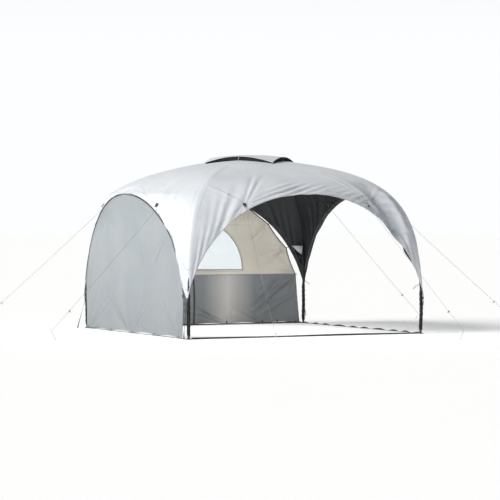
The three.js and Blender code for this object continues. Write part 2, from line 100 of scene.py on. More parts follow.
# Camera: a long lens at standing eye level, front left of the shelter
CAMERA_AZIMUTH = math.radians(-26.1)
CAMERA_DISTANCE = 33.0
CAMERA_HEIGHT = 1.64
CAMERA_PITCH = math.radians(-0.905)
CAMERA_LENS = 171.4

# Studio light: radiance of the backdrop and the ceiling, how far it leans to the left, the darkened side and
# what is left of it there, strength and direction of the key light, the fill and the floor's own glow
BACKDROP = 1.0
CEILING = 0.38
LEFT_BIAS = 0.6
FLAG = 0.1
FLAG_SIDE = (0.75, -0.66, 0)
KEY_LIGHT = 3.35
KEY_TILT = 54
KEY_AZIMUTH = -84
KEY_SPREAD = 30
FILL_LIGHT = 70
FLOOR_GLOW = 0.17


# ---------------------------------------------------------------- the shelter's curves
def part(value):
    """A value held between 0 and 1."""
    return np.clip(value, 0, 1)


def bell(value):
    """1 where the value is 0, falling smoothly to 0 on both sides."""
    return np.exp(-value ** 2)


def cubic(points, t):
    """Points of a cubic Bezier curve, one row for each t."""
    a, b, c, d = (np.array(p, float) for p in points)
    t = np.asarray(t, float)[..., None]
    s = 1 - t
    return s ** 3 * a + 3 * s * s * t * b + 3 * s * t * t * c + t ** 3 * d


STEPS = np.linspace(0, 1, 6001)
POLE = ((HALF_SIDE * math.sqrt(2), 0), (2.578, 2.086), (1.893, 2.195), (0, CROWN_HEIGHT))
OPENING = ((HALF_SIDE + 0.007, ARCH_FOOT_Z), (1.644, 1.053), (1.122, ARCH_TOP_Z), (0, ARCH_TOP_Z))
POLE_LINE = cubic(POLE, STEPS)
OPENING_LINE = cubic(OPENING, STEPS)


def corner_at(z):
    """Distance of a hip from each of its two sides' middle planes, at a height."""
    return np.interp(z, POLE_LINE[:, 1], POLE_LINE[:, 0]) / math.sqrt(2)


def opening_at(z):
    """Half width of an arched opening at a height."""
    return np.interp(z, OPENING_LINE[:, 1], OPENING_LINE[:, 0])


def height_at(radius):
    """Height of the roof over a distance from the middle."""
    roof = POLE_LINE[3000:][::-1]
    return np.interp(radius, roof[:, 0], roof[:, 1])


def fullness_at(z):
    """How far the cloth stands out beyond the line between two poles, at mid-side."""
    z = np.asarray(z, float)
    corner = corner_at(np.minimum(z, ARCH_TOP_Z))
    share = opening_at(np.minimum(z, ARCH_TOP_Z)) / corner
    low = np.maximum(0, (HALF_SIDE - corner) / np.maximum(1e-6, 1 - share ** 2))
    climb = part((z - ARCH_TOP_Z) / (CROWN_HEIGHT - ARCH_TOP_Z))
    return np.where(z <= ARCH_TOP_Z, low, (HALF_SIDE - corner) * (1 - climb) ** ROOF_FULLNESS)


def panel_point(share, z):
    """Point of the front canopy panel; share runs from -1 at the left pole to 1 at the right."""
    share, z = np.broadcast_arrays(np.asarray(share, float), np.asarray(z, float))
    corner = corner_at(z)
    out = corner + fullness_at(z) * (1 - share ** 2)
    return np.stack([share * corner, -out, z], -1)


def edge_height(share):
    """Height of the opening's edge on the panel line of each share."""
    zs = np.linspace(ARCH_FOOT_Z, ARCH_TOP_Z, 4001)
    ratio = np.minimum.accumulate(opening_at(zs) / corner_at(zs))
    return np.interp(-np.abs(share), -ratio, zs)


def crown_height(share):
    """Height of the crown opening's edge on the panel line of each share."""
    zs = np.linspace(ARCH_TOP_Z, CROWN_HEIGHT, 2001)
    heights = []
    for one in np.atleast_1d(share):
        point = panel_point(one, zs)
        reach = np.abs(point[:, 0]) - point[:, 1]
        heights.append(np.interp(-CROWN_HALF * math.sqrt(2), -reach, zs))
    return np.array(heights)


def roof_height(x, y):
    """Height of the roof over points near the crown."""
    out, aside = np.maximum(np.abs(x), np.abs(y)), np.minimum(np.abs(x), np.abs(y))
    low, high = np.full(np.shape(out), ARCH_TOP_Z), np.full(np.shape(out), CROWN_HEIGHT - 1e-5)
    for _ in range(30):
        middle = (low + high) / 2
        corner = corner_at(middle)
        share = np.minimum(1, aside / corner)
        below = corner + fullness_at(middle) * (1 - share ** 2) > out
        low, high = np.where(below, middle, low), np.where(below, high, middle)
    return (low + high) / 2


def turned(points, quarter):
    """Points turned about the vertical by quarter turns."""
    points = np.array(points, float)
    for _ in range(quarter):
        points = np.stack([-points[..., 1], points[..., 0], points[..., 2]], -1)
    return points


def pole_point(t, sign_x, sign_y):
    """Centre line of a pole, inside the cloth."""
    point = cubic(POLE, [t])[0]
    ahead = cubic(POLE, [min(1, t + 1e-4)])[0] - cubic(POLE, [t - 1e-4])[0]
    ahead /= np.linalg.norm(ahead)
    radius = (point[0] - ahead[1] * POLE_INSET) / math.sqrt(2)
    return np.array([radius * sign_x, radius * sign_y, point[1] + ahead[0] * POLE_INSET])


def left_lean(z, hip_distance=LEFT_LEAN_REACH):
    """How far the left panel stands out beyond a plain one, at a height and a distance from its hip."""
    z = np.asarray(z, float)
    edge = np.where(z < ARCH_TOP_Z, corner_at(z) - opening_at(z), LEFT_LEAN_REACH)
    free = part(hip_distance / np.clip(edge, 0.001, LEFT_LEAN_REACH)) ** 0.7
    over = part((z - ARCH_TOP_Z) / LEFT_LEAN_FADE)
    return LEFT_LEAN * part(z / ARCH_TOP_Z) ** LEFT_LEAN_POWER * (1 - over) ** 1.5 * free


def left_pull(z):
    """How far the wall pulls in the front branch of the left arch at a height."""
    return LEFT_PULL * part(1 - np.asarray(z, float) / LEFT_PULL_TOP) ** 0.7


def guy_frame(handed, leans=False):
    """Tab, stake foot, hold point, cord direction and stake direction of a front guy line."""
    corner = float(corner_at(TAB_Z))
    tab = panel_point(TAB_ALONG / corner * handed, TAB_Z)
    if leans:
        tab = tab - np.array([0, TAB_LEAN, 0])
    ground = np.array([(TAB_ALONG + GUY_ASIDE) * handed, -(HALF_SIDE + GUY_OUT), 0])
    away = np.array([GUY_ASIDE * handed, -GUY_OUT, 0])
    away /= np.linalg.norm(away)
    stake = away * math.sin(STAKE_LEAN) + np.array([0, 0, math.cos(STAKE_LEAN)])
    hold = ground + stake * STAKE_HOLD
    along = (hold - tab) / np.linalg.norm(hold - tab)
    return tab, ground, hold, along, stake


# ---------------------------------------------------------------- camera
def add_camera():
    ahead = np.array([-math.sin(CAMERA_AZIMUTH), math.cos(CAMERA_AZIMUTH), 0])
    data = bpy.data.cameras.new("camera")
    data.lens = CAMERA_LENS
    data.sensor_width = 36
    data.clip_end = 500
    camera = bpy.data.objects.new("camera", data)
    bpy.context.scene.collection.objects.link(camera)
    camera.location = -ahead * CAMERA_DISTANCE + np.array([0, 0, CAMERA_HEIGHT])
    camera.rotation_euler = (math.pi / 2 + CAMERA_PITCH, 0, CAMERA_AZIMUTH)
    bpy.context.scene.camera = camera


# ---------------------------------------------------------------- node graphs
class Graph:
    """The node tree of a new material or of a world, with short calls to add and join nodes."""

    def __init__(self, name, world=None):
        self.owner = world or bpy.data.materials.new(name)
        self.owner.use_nodes = True
        self.tree = self.owner.node_tree
        self.tree.nodes.clear()

    def node(self, kind, inputs=None, **settings):
        node = self.tree.nodes.new(kind)
        for key, value in settings.items():
            setattr(node, key, value)
        for key, value in (inputs or {}).items():
            socket = node.inputs[key]
            if isinstance(value, bpy.types.NodeSocket):
                self.tree.links.new(value, socket)
            else:
                socket.default_value = value
        return node

    def math(self, operation, a, b=0.0):
        node = self.node("ShaderNodeMath", {0: a, 1: b}, operation=operation)
        return node.outputs[0]

    def place(self):
        return self.node("ShaderNodeTexCoord").outputs["Object"]

    def axis(self, name):
        return self.node("ShaderNodeSeparateXYZ", {"Vector": self.place()}).outputs[name]

    def noise(self, scale, detail=3.0, roughness=0.5, stretch=None):
        place = self.place()
        if stretch:
            place = self.node("ShaderNodeMapping", {"Vector": place, "Scale": stretch}).outputs[0]
        values = {"Vector": place, "Scale": scale, "Detail": detail, "Roughness": roughness}
        return self.node("ShaderNodeTexNoise", values).outputs["Fac"]

    def spread(self, value, low, high, to_low, to_high):
        values = {"Value": value, "From Min": low, "From Max": high, "To Min": to_low, "To Max": to_high}
        return self.node("ShaderNodeMapRange", values).outputs["Result"]

    def mix(self, factor, a, b):
        node = self.node("ShaderNodeMix", {"Factor": factor}, data_type="RGBA")
        for socket, value in ((node.inputs[6], a), (node.inputs[7], b)):
            if isinstance(value, bpy.types.NodeSocket):
                self.tree.links.new(value, socket)
            else:
                socket.default_value = (*value, 1)
        return node.outputs[2]

    def attribute(self, name):
        return self.node("ShaderNodeAttribute", attribute_name=name).outputs["Fac"]

    def line(self, value, centre, half_width):
        """1 on a line where value is centre, 0 beyond half_width."""
        off = self.math("ABSOLUTE", self.math("SUBTRACT", value, centre))
        return self.spread(off, half_width * 0.5, half_width, 1.0, 0.0)

    def weave(self, pitch):
        """Height of a plain weave, two crossed bands."""
        bands = []
        for direction in ("X", "Y", "Z"):
            values = {"Vector": self.place(), "Scale": 1 / pitch / 3.18}
            wave = self.node("ShaderNodeTexWave", values, wave_type="BANDS", bands_direction=direction)
            bands.append(wave.outputs["Fac"])
        return self.math("MULTIPLY", self.math("ADD", bands[0], bands[1]), bands[2])

    def bump(self, height, strength, distance, normal=None):
        values = {"Height": height, "Strength": strength, "Distance": distance}
        if normal is not None:
            values["Normal"] = normal
        return self.node("ShaderNodeBump", values).outputs["Normal"]

    def rough(self, scale, detail, low, high):
        return self.spread(self.noise(scale, detail), 0.3, 0.7, low, high)

    def surface(self, **inputs):
        names = {key.replace("_", " "): value for key, value in inputs.items()}
        return self.node("ShaderNodeBsdfPrincipled", names)

    def finish(self, shader):
        self.node("ShaderNodeOutputMaterial", {"Surface": shader.outputs[0]})
        return self.owner

    def coat(self, base, rough, normal, **more):
        return self.finish(self.surface(Base_Color=base, Roughness=rough, Normal=normal, **more))

    def blend(self, share, one, other):
        values = {0: share, 1: one.outputs[0], 2: other.outputs[0]}
        return self.finish(self.node("ShaderNodeMixShader", values))


def scaled(colour, factor, lift=0.0):
    """A colour made lighter or darker, and no channel above 1."""
    return tuple(min(1.0, c * factor + lift) for c in colour)


def grime(graph, reach):
    """How soiled the cloth is: most near the ground, broken up by noise."""
    near = graph.spread(graph.axis("Z"), 0.0, reach, 1.0, 0.0)
    return graph.math("MULTIPLY", near, graph.spread(graph.noise(9.0, 6.0, 0.65), 0.4, 0.7, 0.0, 1.0))


def cloth(name, colour, shade, translucent=0.0, seams=(), lower=None, soil=0.25, soil_reach=0.5, foot=0.0, glow=None):
    """Coated polyester: weave, faint creases, soft colour changes, seams with stitching along them.

    lower is the height and colour of a lower panel. foot darkens the cloth near the ground, and glow lightens
    a column of the lower panel: both are light and shade of the photograph, painted into the cloth.
    """
    g = Graph(name)
    base = g.mix(g.spread(g.noise(1.7, 4.0, 0.55), 0.35, 0.65, 0.0, 1.0), colour, shade)
    if lower:
        base = g.mix(g.spread(g.axis("Z"), lower[0] - 0.002, lower[0] + 0.002, 1.0, 0.0), base, lower[1])
    if glow:
        middle, reach, tone = glow
        off = g.math("ABSOLUTE", g.math("SUBTRACT", g.axis("X"), middle))
        below = g.spread(g.axis("Z"), 0.72, 0.74, 0.62, 0.0)
        lit = g.math("MULTIPLY", g.spread(off, 0.0, reach, 1.0, 0.0), below)
        base = g.mix(lit, base, tone)
    if foot:
        base = g.mix(g.spread(g.axis("Z"), 0.0, 1.1, foot, 0.0), base, scaled(shade, 0.5))
    base = g.mix(g.math("MULTIPLY", grime(g, soil_reach), soil), base, scaled(shade, 0.55))
    height = g.math("MULTIPLY", g.weave(0.0016), 0.4)
    for attribute, offset, half in seams:
        seam = g.line(g.attribute(attribute), offset, half)
        stitch = g.line(g.attribute(attribute), offset, half * 0.22)
        dash = g.spread(g.noise(260.0, 0.0), 0.44, 0.5, 0.0, 1.0)
        base = g.mix(g.math("MULTIPLY", seam, 0.35), base, scaled(shade, 0.72))
        base = g.mix(g.math("MULTIPLY", g.math("MULTIPLY", stitch, dash), 0.6), base, scaled(shade, 0.4))
        height = g.math("ADD", height, g.math("MULTIPLY", seam, 1.5))
    normal = g.bump(g.noise(7.0, 7.0, 0.6), 0.35, 0.006)
    normal = g.bump(g.noise(38.0, 4.0, 0.55), 0.35 * 0.4, 0.002, normal)
    normal = g.bump(height, 0.35, 0.0008, normal)
    rough = g.rough(3.1, 3.0, 0.62 - 0.06, 0.62 + 0.08)
    shader = g.surface(Base_Color=base, Roughness=rough, Normal=normal, Sheen_Weight=0.25)
    shader.inputs["Sheen Roughness"].default_value = 0.45
    if not translucent:
        return g.finish(shader)
    through = g.node("ShaderNodeBsdfTranslucent", {"Color": base, "Normal": normal})
    return g.blend(translucent, shader, through)


def lining(name, colour):
    """Dark coated inner face of the canopy."""
    g = Graph(name)
    base = g.mix(g.spread(g.noise(2.3, 5.0, 0.6), 0.3, 0.7, 0.0, 1.0), colour, scaled(colour, 1.7))
    normal = g.bump(g.noise(9.0, 6.0, 0.6), 0.4, 0.006)
    normal = g.bump(g.weave(0.0016), 0.3, 0.0006, normal)
    rough = g.rough(4.0, 3.0, 0.5, 0.68)
    return g.coat(base, rough, normal)


def webbing(name, colour):
    """Woven tape: ribs across it, a fuzzy edge and a little fading."""
    g = Graph(name)
    base = g.mix(g.spread(g.noise(14.0, 5.0, 0.6), 0.4, 0.75, 0.0, 0.6), colour, scaled(colour, 2.4, 0.02))
    base = g.mix(g.math("MULTIPLY", grime(g, 0.12), 0.35), base, (0.16, 0.14, 0.11))
    normal = g.bump(g.weave(0.0022), 0.7, 0.0012)
    rough = g.rough(60.0, 2.0, 0.78, 0.95)
    return g.coat(base, rough, normal, Sheen_Weight=0.3)


def plastic(name, colour, roughness=0.42):
    """Moulded plastic with a fine grain and scuffed high spots."""
    g = Graph(name)
    scuff = g.spread(g.noise(85.0, 6.0, 0.7), 0.56, 0.72, 0.0, 0.5)
    base = g.mix(scuff, colour, scaled(colour, 2.0, 0.03))
    normal = g.bump(g.noise(900.0, 2.0), 0.25, 0.0004)
    rough = g.rough(45.0, 4.0, roughness - 0.08, roughness + 0.14)
    return g.coat(base, rough, normal)


def coated_steel(name, colour, metal):
    """Powder coated tube, worn through in small scratches along its length."""
    g = Graph(name)
    scratch = g.noise(24.0, 8.0, 0.75, stretch=(6.0, 6.0, 0.35))
    worn = g.spread(scratch, 0.62, 0.68, 0.0, 1.0)
    base = g.mix(worn, colour, metal)
    base = g.mix(g.math("MULTIPLY", grime(g, 0.2), 0.5), base, (0.2, 0.17, 0.13))
    normal = g.bump(g.noise(420.0, 3.0), 0.18, 0.0004)
    rough = g.rough(30.0, 4.0, 0.38 - 0.06, 0.38 + 0.14)
    return g.coat(base, rough, normal, Metallic=g.math("MULTIPLY", worn, 0.8))


def bright_steel(name):
    """Drawn and zinc plated wire, lightly brushed."""
    g = Graph(name)
    base = g.mix(g.noise(60.0, 5.0, 0.6), (0.46, 0.47, 0.49), (0.66, 0.67, 0.69))
    rough = g.spread(g.noise(90.0, 5.0, stretch=(4.0, 4.0, 0.5)), 0.3, 0.7, 0.24, 0.45)
    normal = g.bump(g.noise(300.0, 3.0, stretch=(5.0, 5.0, 0.6)), 0.2, 0.0003)
    return g.coat(base, rough, normal, Metallic=1.0)


def cord_material(name):
    """Braided cord with a dark fleck."""
    g = Graph(name)
    fleck = g.spread(g.noise(340.0, 2.0), 0.58, 0.64, 0.0, 1.0)
    base = g.mix(fleck, (0.27, 0.28, 0.29), (0.08, 0.085, 0.09))
    normal = g.bump(g.weave(0.0011), 0.8, 0.0005)
    return g.coat(base, 0.75, normal, Sheen_Weight=0.2)


def clear_film(name):
    """Thin clear window film: mostly see-through, soft ripples, faint haze."""
    g = Graph(name)
    normal = g.bump(g.noise(4.5, 4.0, 0.5), 0.5, 0.012)
    clear = g.node("ShaderNodeBsdfTransparent", {"Color": (0.9, 0.93, 0.94, 1)})
    haze = g.surface(Base_Color=(0.8, 0.84, 0.86, 1), Roughness=0.16, Normal=normal)
    cloudy = g.spread(g.noise(1.3, 3.0, 0.5), 0.3, 0.7, 0.14, 0.24)
    return g.blend(cloudy, clear, haze)


def netting_material(name):
    """Fine black insect netting, see-through between its threads."""
    g = Graph(name)
    thread = g.spread(g.weave(0.0024), 0.2, 0.5, 0.8, 0.97)
    clear = g.node("ShaderNodeBsdfTransparent")
    solid = g.surface(Base_Color=(0.02, 0.022, 0.024, 1), Roughness=0.85)
    return g.blend(thread, clear, solid)


def zip_material(name):
    """Dark zip tape with a coil of teeth down its middle."""
    g = Graph(name)
    coil = g.line(g.attribute("across"), 0.0, 0.0035)
    teeth = g.node("ShaderNodeTexWave", {"Vector": g.place(), "Scale": 150.0}, bands_direction="Z")
    base = g.mix(coil, (0.05, 0.053, 0.057), (0.012, 0.012, 0.013))
    height = g.math("ADD", g.math("MULTIPLY", coil, 2.0), g.math("MULTIPLY", teeth.outputs["Fac"], coil))
    normal = g.bump(height, 0.6, 0.0008)
    normal = g.bump(g.weave(0.0012), 0.3, 0.0004, normal)
    rough = g.spread(coil, 0.0, 1.0, 0.85, 0.4)
    return g.coat(base, rough, normal)


MATERIALS = {
    "canopy": cloth("canopy_cloth", (0.66, 0.685, 0.71), (0.58, 0.61, 0.645),
                    seams=(("edge", VALANCE, 0.007), ("edge", 0.012, 0.006), ("hip", 0.045, 0.005))),
    "canopy_inside": lining("canopy_lining", (0.0075, 0.0095, 0.0115)),
    "left_wall": cloth("side_wall_cloth", (0.335, 0.365, 0.38), (0.30, 0.33, 0.35), translucent=0.1,
                       soil=0.2, soil_reach=0.8, foot=0.45,
                       seams=(("edge", 0.03, 0.005),)),
    "back_wall": cloth("back_wall_cloth", (0.80, 0.77, 0.71), (0.70, 0.68, 0.63), translucent=0.78,
                       lower=(LOW_SEAM, (0.4, 0.415, 0.425)), glow=(0.5, 0.42, (0.9, 0.87, 0.83)),
                       seams=(("edge", 0.03, 0.005), ("window", 0.03, 0.005), ("level", 0.0, 0.005))),
    "film": clear_film("window_film"),
    "netting": netting_material("crown_netting"),
    "sleeve": lining("black_sleeve", (0.0025, 0.0026, 0.003)),
    "patch": cloth("grey_patch", (0.42, 0.43, 0.435), (0.36, 0.37, 0.375)),
    "webbing": webbing("black_webbing", (0.013, 0.0135, 0.0145)),
    "plastic": plastic("black_plastic", (0.012, 0.0125, 0.0135)),
    "prop": plastic("clear_prop", (0.72, 0.75, 0.76), 0.3),
    "leg": coated_steel("pole_steel", (0.011, 0.011, 0.012), (0.32, 0.32, 0.33)),
    "rod": plastic("glass_fibre_rod", (0.02, 0.021, 0.023), 0.35),
    "stake": bright_steel("stake_steel"),
    "cord": cord_material("guy_cord"),
    "zip": zip_material("zip_tape"),
}


# ---------------------------------------------------------------- mesh helpers
def new_object(name, data):
    piece = bpy.data.objects.new(name, data)
    bpy.context.scene.collection.objects.link(piece)
    return piece


def grid_faces(rows, columns, wrap=False):
    """Quads of a grid of rows by columns of points; wrap joins the last column to the first."""
    faces = []
    for i in range(rows - 1):
        for j in range(columns if wrap else columns - 1):
            k = (j + 1) % columns
            faces.append((i * columns + j, i * columns + k, (i + 1) * columns + k, (i + 1) * columns + j))
    return faces


def sheet_mesh(name, points, faces, materials, attributes=None, thickness=0.0012, merge=0.0):
    """A smooth sheet, given thickness behind its face; the second material is its back."""
    mesh = bpy.data.meshes.new(name)
    mesh.from_pydata([tuple(p) for p in points], [], faces)
    for key, values in (attributes or {}).items():
        layer = mesh.attributes.new(key, "FLOAT", "POINT")
        layer.data.foreach_set("value", np.asarray(values, np.float32))
    if merge:
        edit = bmesh.new()
        edit.from_mesh(mesh)
        bmesh.ops.remove_doubles(edit, verts=edit.verts, dist=merge)
        edit.to_mesh(mesh)
        edit.free()
    for material in materials:
        mesh.materials.append(material)
    mesh.shade_smooth()
    piece = new_object(name, mesh)
    solid = piece.modifiers.new("thickness", "SOLIDIFY")
    solid.thickness = thickness
    solid.offset = -1
    solid.use_even_offset = False
    if len(materials) > 1:
        solid.material_offset = 1
        solid.material_offset_rim = 0
    return piece


def ripple(place, scale, seed):
    """Smooth noise from -1 to 1 at each point of an array."""
    shift = Vector((seed * 13.7, seed * 5.1, seed * 9.3))
    return np.array([noise.noise(Vector(p) * scale + shift) for p in place])


def normals_of(grid):
    """Unit normals of a grid of points (rows, columns, 3), by central differences."""
    across = np.gradient(grid, axis=1)
    up = np.gradient(grid, axis=0)
    normal = np.cross(across, up)
    return normal / np.maximum(1e-9, np.linalg.norm(normal, axis=-1, keepdims=True))


def place_on(piece, body, slot, *stood_for):
    """Put a piece on its body, and hide the CAD nodes it stands for; slot is not used."""
    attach(piece, body)
    if stood_for:
        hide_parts(*stood_for)


def distance_to(points, line):
    """Least distance of each point to a polyline's points."""
    best = np.full(len(points), 1e9)
    for start in range(0, len(points), 4000):
        some = points[start:start + 4000]
        best[start:start + 4000] = np.sqrt(((some[:, None] - line[None]) ** 2).sum(-1)).min(1)
    return best


def ribbon(name, centres, across, width, material, thickness, body="shelter"):
    """A flat tape along a line; across are the unit directions of its width."""
    centres, across = np.array(centres, float), np.array(across, float)
    shares = np.linspace(-0.5, 0.5, 5)
    points = centres[:, None] + across[:, None] * (shares * width)[None, :, None]
    attributes = {"across": np.tile(shares * width, len(centres))}
    piece = sheet_mesh(name, points.reshape(-1, 3), grid_faces(len(centres), 5), [material], attributes,
                       thickness)
    piece.modifiers["thickness"].offset = 0
    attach(piece, body)
    return piece


def rounded_block(size, bevel):
    """A bmesh box with rounded edges."""
    edit = bmesh.new()
    bmesh.ops.create_cube(edit, size=1, matrix=Matrix.Diagonal((*size, 1)))
    bmesh.ops.bevel(edit, geom=list(edit.edges), offset=bevel, segments=2, profile=0.6, affect="EDGES")
    return edit


def from_bmesh(name, edit, material, place):
    mesh = bpy.data.meshes.new(name)
    edit.to_mesh(mesh)
    edit.free()
    mesh.transform(place)
    mesh.materials.append(material)
    mesh.shade_smooth()
    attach(new_object(name, mesh), "shelter")


def frame_matrix(origin, x_axis, y_axis, z_axis):
    matrix = Matrix.Identity(4)
    for column, axis in enumerate((x_axis, y_axis, z_axis, origin)):
        for row in range(3):
            matrix[row][column] = float(axis[row])
    return matrix


def unit(vector):
    vector = np.asarray(vector, float)
    return vector / np.linalg.norm(vector)


# ---------------------------------------------------------------- guy lines
def guy_route(handed, leans):
    """Points of a guy line from its tab to its stake, straight but for a very small sag."""
    tab, _, hold, along, _ = guy_frame(handed, leans)
    start = tab + along * (TAB_REACH + 0.0003)
    end = hold - along * (STAKE_R + CORD_R + 0.001)
    shares = np.linspace(0, 1, 16)[:, None]
    sag = -0.012 * 4 * shares * (1 - shares)
    return start + (end - start) * shares + sag * np.array([0, 0, 1])


def add_guys():
    for name, quarter, handed in GUYS:
        route = turned(guy_route(handed, name.startswith("left")), quarter)
        data = bpy.data.curves.new(f"guy_line_{name}", "CURVE")
        data.dimensions = "3D"
        data.bevel_depth = CORD_R
        data.bevel_resolution = 3
        spline = data.splines.new("POLY")
        spline.points.add(len(route) - 1)
        for point, place in zip(spline.points, route):
            point.co = (*place, 1)
        data.materials.append(MATERIALS["cord"])
        cord = new_object(f"guy_line_{name}", data)
        place_on(cord, "shelter", "guy_cord", f"guy_{name}")


# ---------------------------------------------------------------- canopy
CANOPY_COLUMNS = 180
CANOPY_ROWS = 92
HIP_REACH = 0.13
HIP_ROUNDS = 60
TIP_FOLDS = (((0.62, 2.45), 0.14, 5.0, 0.013), ((0.95, 2.3), 0.09, 4.6, 0.012), ((1.2, 2.0), 0.08, 4.2, 0.013),
             ((1.45, 1.62), 0.06, 4.0, 0.010), ((0.9, 1.62), 0.05, 3.6, 0.009), ((1.25, 1.3), 0.035, 3.4, 0.007))
TAB_FOLDS = (((0.45, 2.5), 0.08, 4.0, 0.010), ((1.35, 2.25), 0.07, 4.0, 0.009), ((0.0, 2.1), 0.06, 4.5, 0.008),
             ((1.15, 1.45), 0.05, 3.6, 0.008))


def tension(place, start, end, width, waves, amplitude, seed=0):
    """Wrinkles that run from start to end, fading out to the sides and at both ends."""
    start, end = np.array(start), np.array(end)
    run = end - start
    length = np.linalg.norm(run)
    run = run / length
    side = np.array([-run[1], run[0]])
    along = (place - start) @ run / length
    flat = np.concatenate([place, np.zeros((len(place), 1))], 1)
    off = (place - start) @ side + 0.12 * width * ripple(flat, 3.0, seed + 71)
    spread = width * (0.35 + part(along))
    fade = part(along * 6) * part((1 - along) * 2.2)
    fade = fade * (0.65 + 0.5 * ripple(flat, 2.2, seed + 81))
    return amplitude * fade * bell(off / spread) * np.cos(off / spread * waves)


def canopy_grid():
    """The front panel's smooth points and its flat coordinates; the right edge is the next panel's."""
    spots = np.linspace(-1, 1, CANOPY_COLUMNS + 1)[:-1]
    shares = np.sin(spots * math.pi * 0.465) / math.sin(math.pi * 0.465)
    low = np.interp(edge_height(shares), POLE_LINE[:, 1], STEPS)
    top = np.interp(crown_height(shares), POLE_LINE[:, 1], STEPS)
    climb = np.linspace(0, 1, CANOPY_ROWS)[:, None]
    z = cubic(POLE, low + (top - low) * climb)[..., 1]
    points = panel_point(np.broadcast_to(shares, z.shape), z)
    rise = np.linalg.norm(np.diff(points, axis=0), axis=-1)
    height = z[:1] + np.concatenate([np.zeros((1, CANOPY_COLUMNS)), np.cumsum(rise, axis=0)])
    return shares, points, np.stack([points[..., 0], height], -1)


def canopy_wrinkles(flat, points, shares, edge, seed):
    """Height of one panel's wrinkles, in metres, and the distance to its nearer hip."""
    place = flat.reshape(-1, 2)
    seeds = points.reshape(-1, 3)
    wave = 0.012 * ripple(seeds, 1.2, seed + 1) + 0.006 * ripple(seeds, 2.9, seed + 11)
    for hand in (-1, 1):
        tip = (hand * 1.74, 0.50)
        tab = (hand * TAB_ALONG, TAB_Z + 0.02)
        for start, folds, shift in ((tip, TIP_FOLDS, 5), (tab, TAB_FOLDS, 9)):
            for end, width, waves, size in folds:
                wave += tension(place, start, (hand * end[0], end[1]), width, waves, size, seed + hand + shift)
    slant = place[:, 1] - 0.42 * place[:, 0]
    near_edge = bell((edge - 0.10) / 0.13) * part((place[:, 0] + 0.7) / 0.5)
    near_edge = near_edge * part((1.2 - place[:, 0]) / 0.4)
    phase = slant * 2 * math.pi / 0.095 + 4 * ripple(seeds, 1.1, seed + 5)
    break_up = np.clip(0.5 + 1.0 * ripple(seeds, 1.8, seed + 21), 0.1, 1.2)
    wave += 0.013 * near_edge * break_up * np.sin(phase)
    hip = (1 - np.abs(np.broadcast_to(shares, flat.shape[:2])).reshape(-1)) * corner_at(seeds[:, 2])
    wave += slack_folds(place, seeds, hip, seed)
    from_crown = (np.linspace(1, 0, CANOPY_ROWS)[:, None] * np.ones_like(shares)).reshape(-1)
    calm = (1 - bell(hip / 0.05)) * part(from_crown * 8)
    return wave * calm, hip


def slack_folds(place, seeds, hip, seed):
    """Deep soft folds beside the front right leg, where the cloth hangs loose along the pole."""
    if seed:
        return 0 * hip
    x, z = place[:, 0], place[:, 1]
    valley = -0.10 * bell((hip - 0.29 - 0.05 * (z - 1.6)) / 0.12)
    ridge = 0.022 * bell((hip - 0.12) / 0.05)
    deep = (valley + ridge) * part((z - 1.15) / 0.3) * part((2.25 - z) / 0.35)
    hook = -0.042 * bell((z - 1.42 + 0.4 * (x - 1.45)) / 0.045) * bell((x - 1.45) / 0.10)
    pleat = 0.016 * np.sin((z + 0.5 * x) * 2 * math.pi / 0.13 + 3 * ripple(seeds, 2.0, 91))
    pleat = pleat * bell((x - 1.25) / 0.22) * bell((z - 1.75) / 0.3)
    return (deep + hook + pleat) * (x > 0)


def shape_panel(name, points, shares, edge, hip):
    """One panel's own departures from the plain shape, drawn as the front panel."""
    shaped = points.copy()
    z = points[..., 2]
    if name == "left":
        shaped[..., 1] -= left_lean(z, hip)
        near = bell(edge / 0.16) * part(hip / 0.04)
        shaped[..., 0] -= np.where(shares > 0, left_pull(z) * near * part((shares - 0.1) / 0.3), 0)
    if name == "right":
        shaped[..., 1] -= 0.2 * left_lean(z, hip)
        loose = bell((z - 1.12) / 0.2) * bell(edge / 0.14) * part(hip / 0.04)
        shaped[..., 1] += np.where(shares < 0, 0.16 * loose, 0)
    return shaped


def soften_hips(ring, hips):
    """Rounds the cloth over the poles by easing each point towards its neighbours along the ring."""
    share = 0.5 * bell(hips / HIP_REACH)[..., None]
    share[0] = 0
    for _ in range(HIP_ROUNDS):
        middle = (np.roll(ring, 1, axis=1) + np.roll(ring, -1, axis=1)) / 2
        ring = ring + share * (middle - ring)
    return ring


def add_canopy():
    shares, points, flat = canopy_grid()
    edge = distance_to(points.reshape(-1, 3), points[0])
    edge_grid = edge.reshape(points.shape[:2])
    rings, waves, hips = [], [], []
    for name, quarter in SIDES:
        found = canopy_wrinkles(flat, points, shares, edge, quarter * 7)
        wave, hip = (values.reshape(edge_grid.shape) for values in found)
        rings.append(turned(shape_panel(name, points, shares, edge_grid, hip), quarter))
        waves.append(wave)
        hips.append(hip)
    hips = np.concatenate(hips, 1)
    ring = soften_hips(np.concatenate(rings, 1), hips)
    padded = np.concatenate([ring[:, -1:], ring, ring[:, :1]], 1)
    normal = normals_of(padded)[:, 1:-1]
    moved = ring + normal * np.concatenate(waves, 1)[..., None]
    edges = np.concatenate([edge_grid] * 4, 1)
    canopy = sheet_mesh("canopy_sheet", moved.reshape(-1, 3),
                        grid_faces(CANOPY_ROWS, ring.shape[1], wrap=True),
                        [MATERIALS["canopy"], MATERIALS["canopy_inside"]],
                        {"edge": edges.reshape(-1), "hip": hips.reshape(-1)}, 0.0015)
    place_on(canopy, "shelter", "canopy_cloth", *(f"canopy_{name}" for name, _ in SIDES))
    add_arch_bindings(moved, normal, edges)


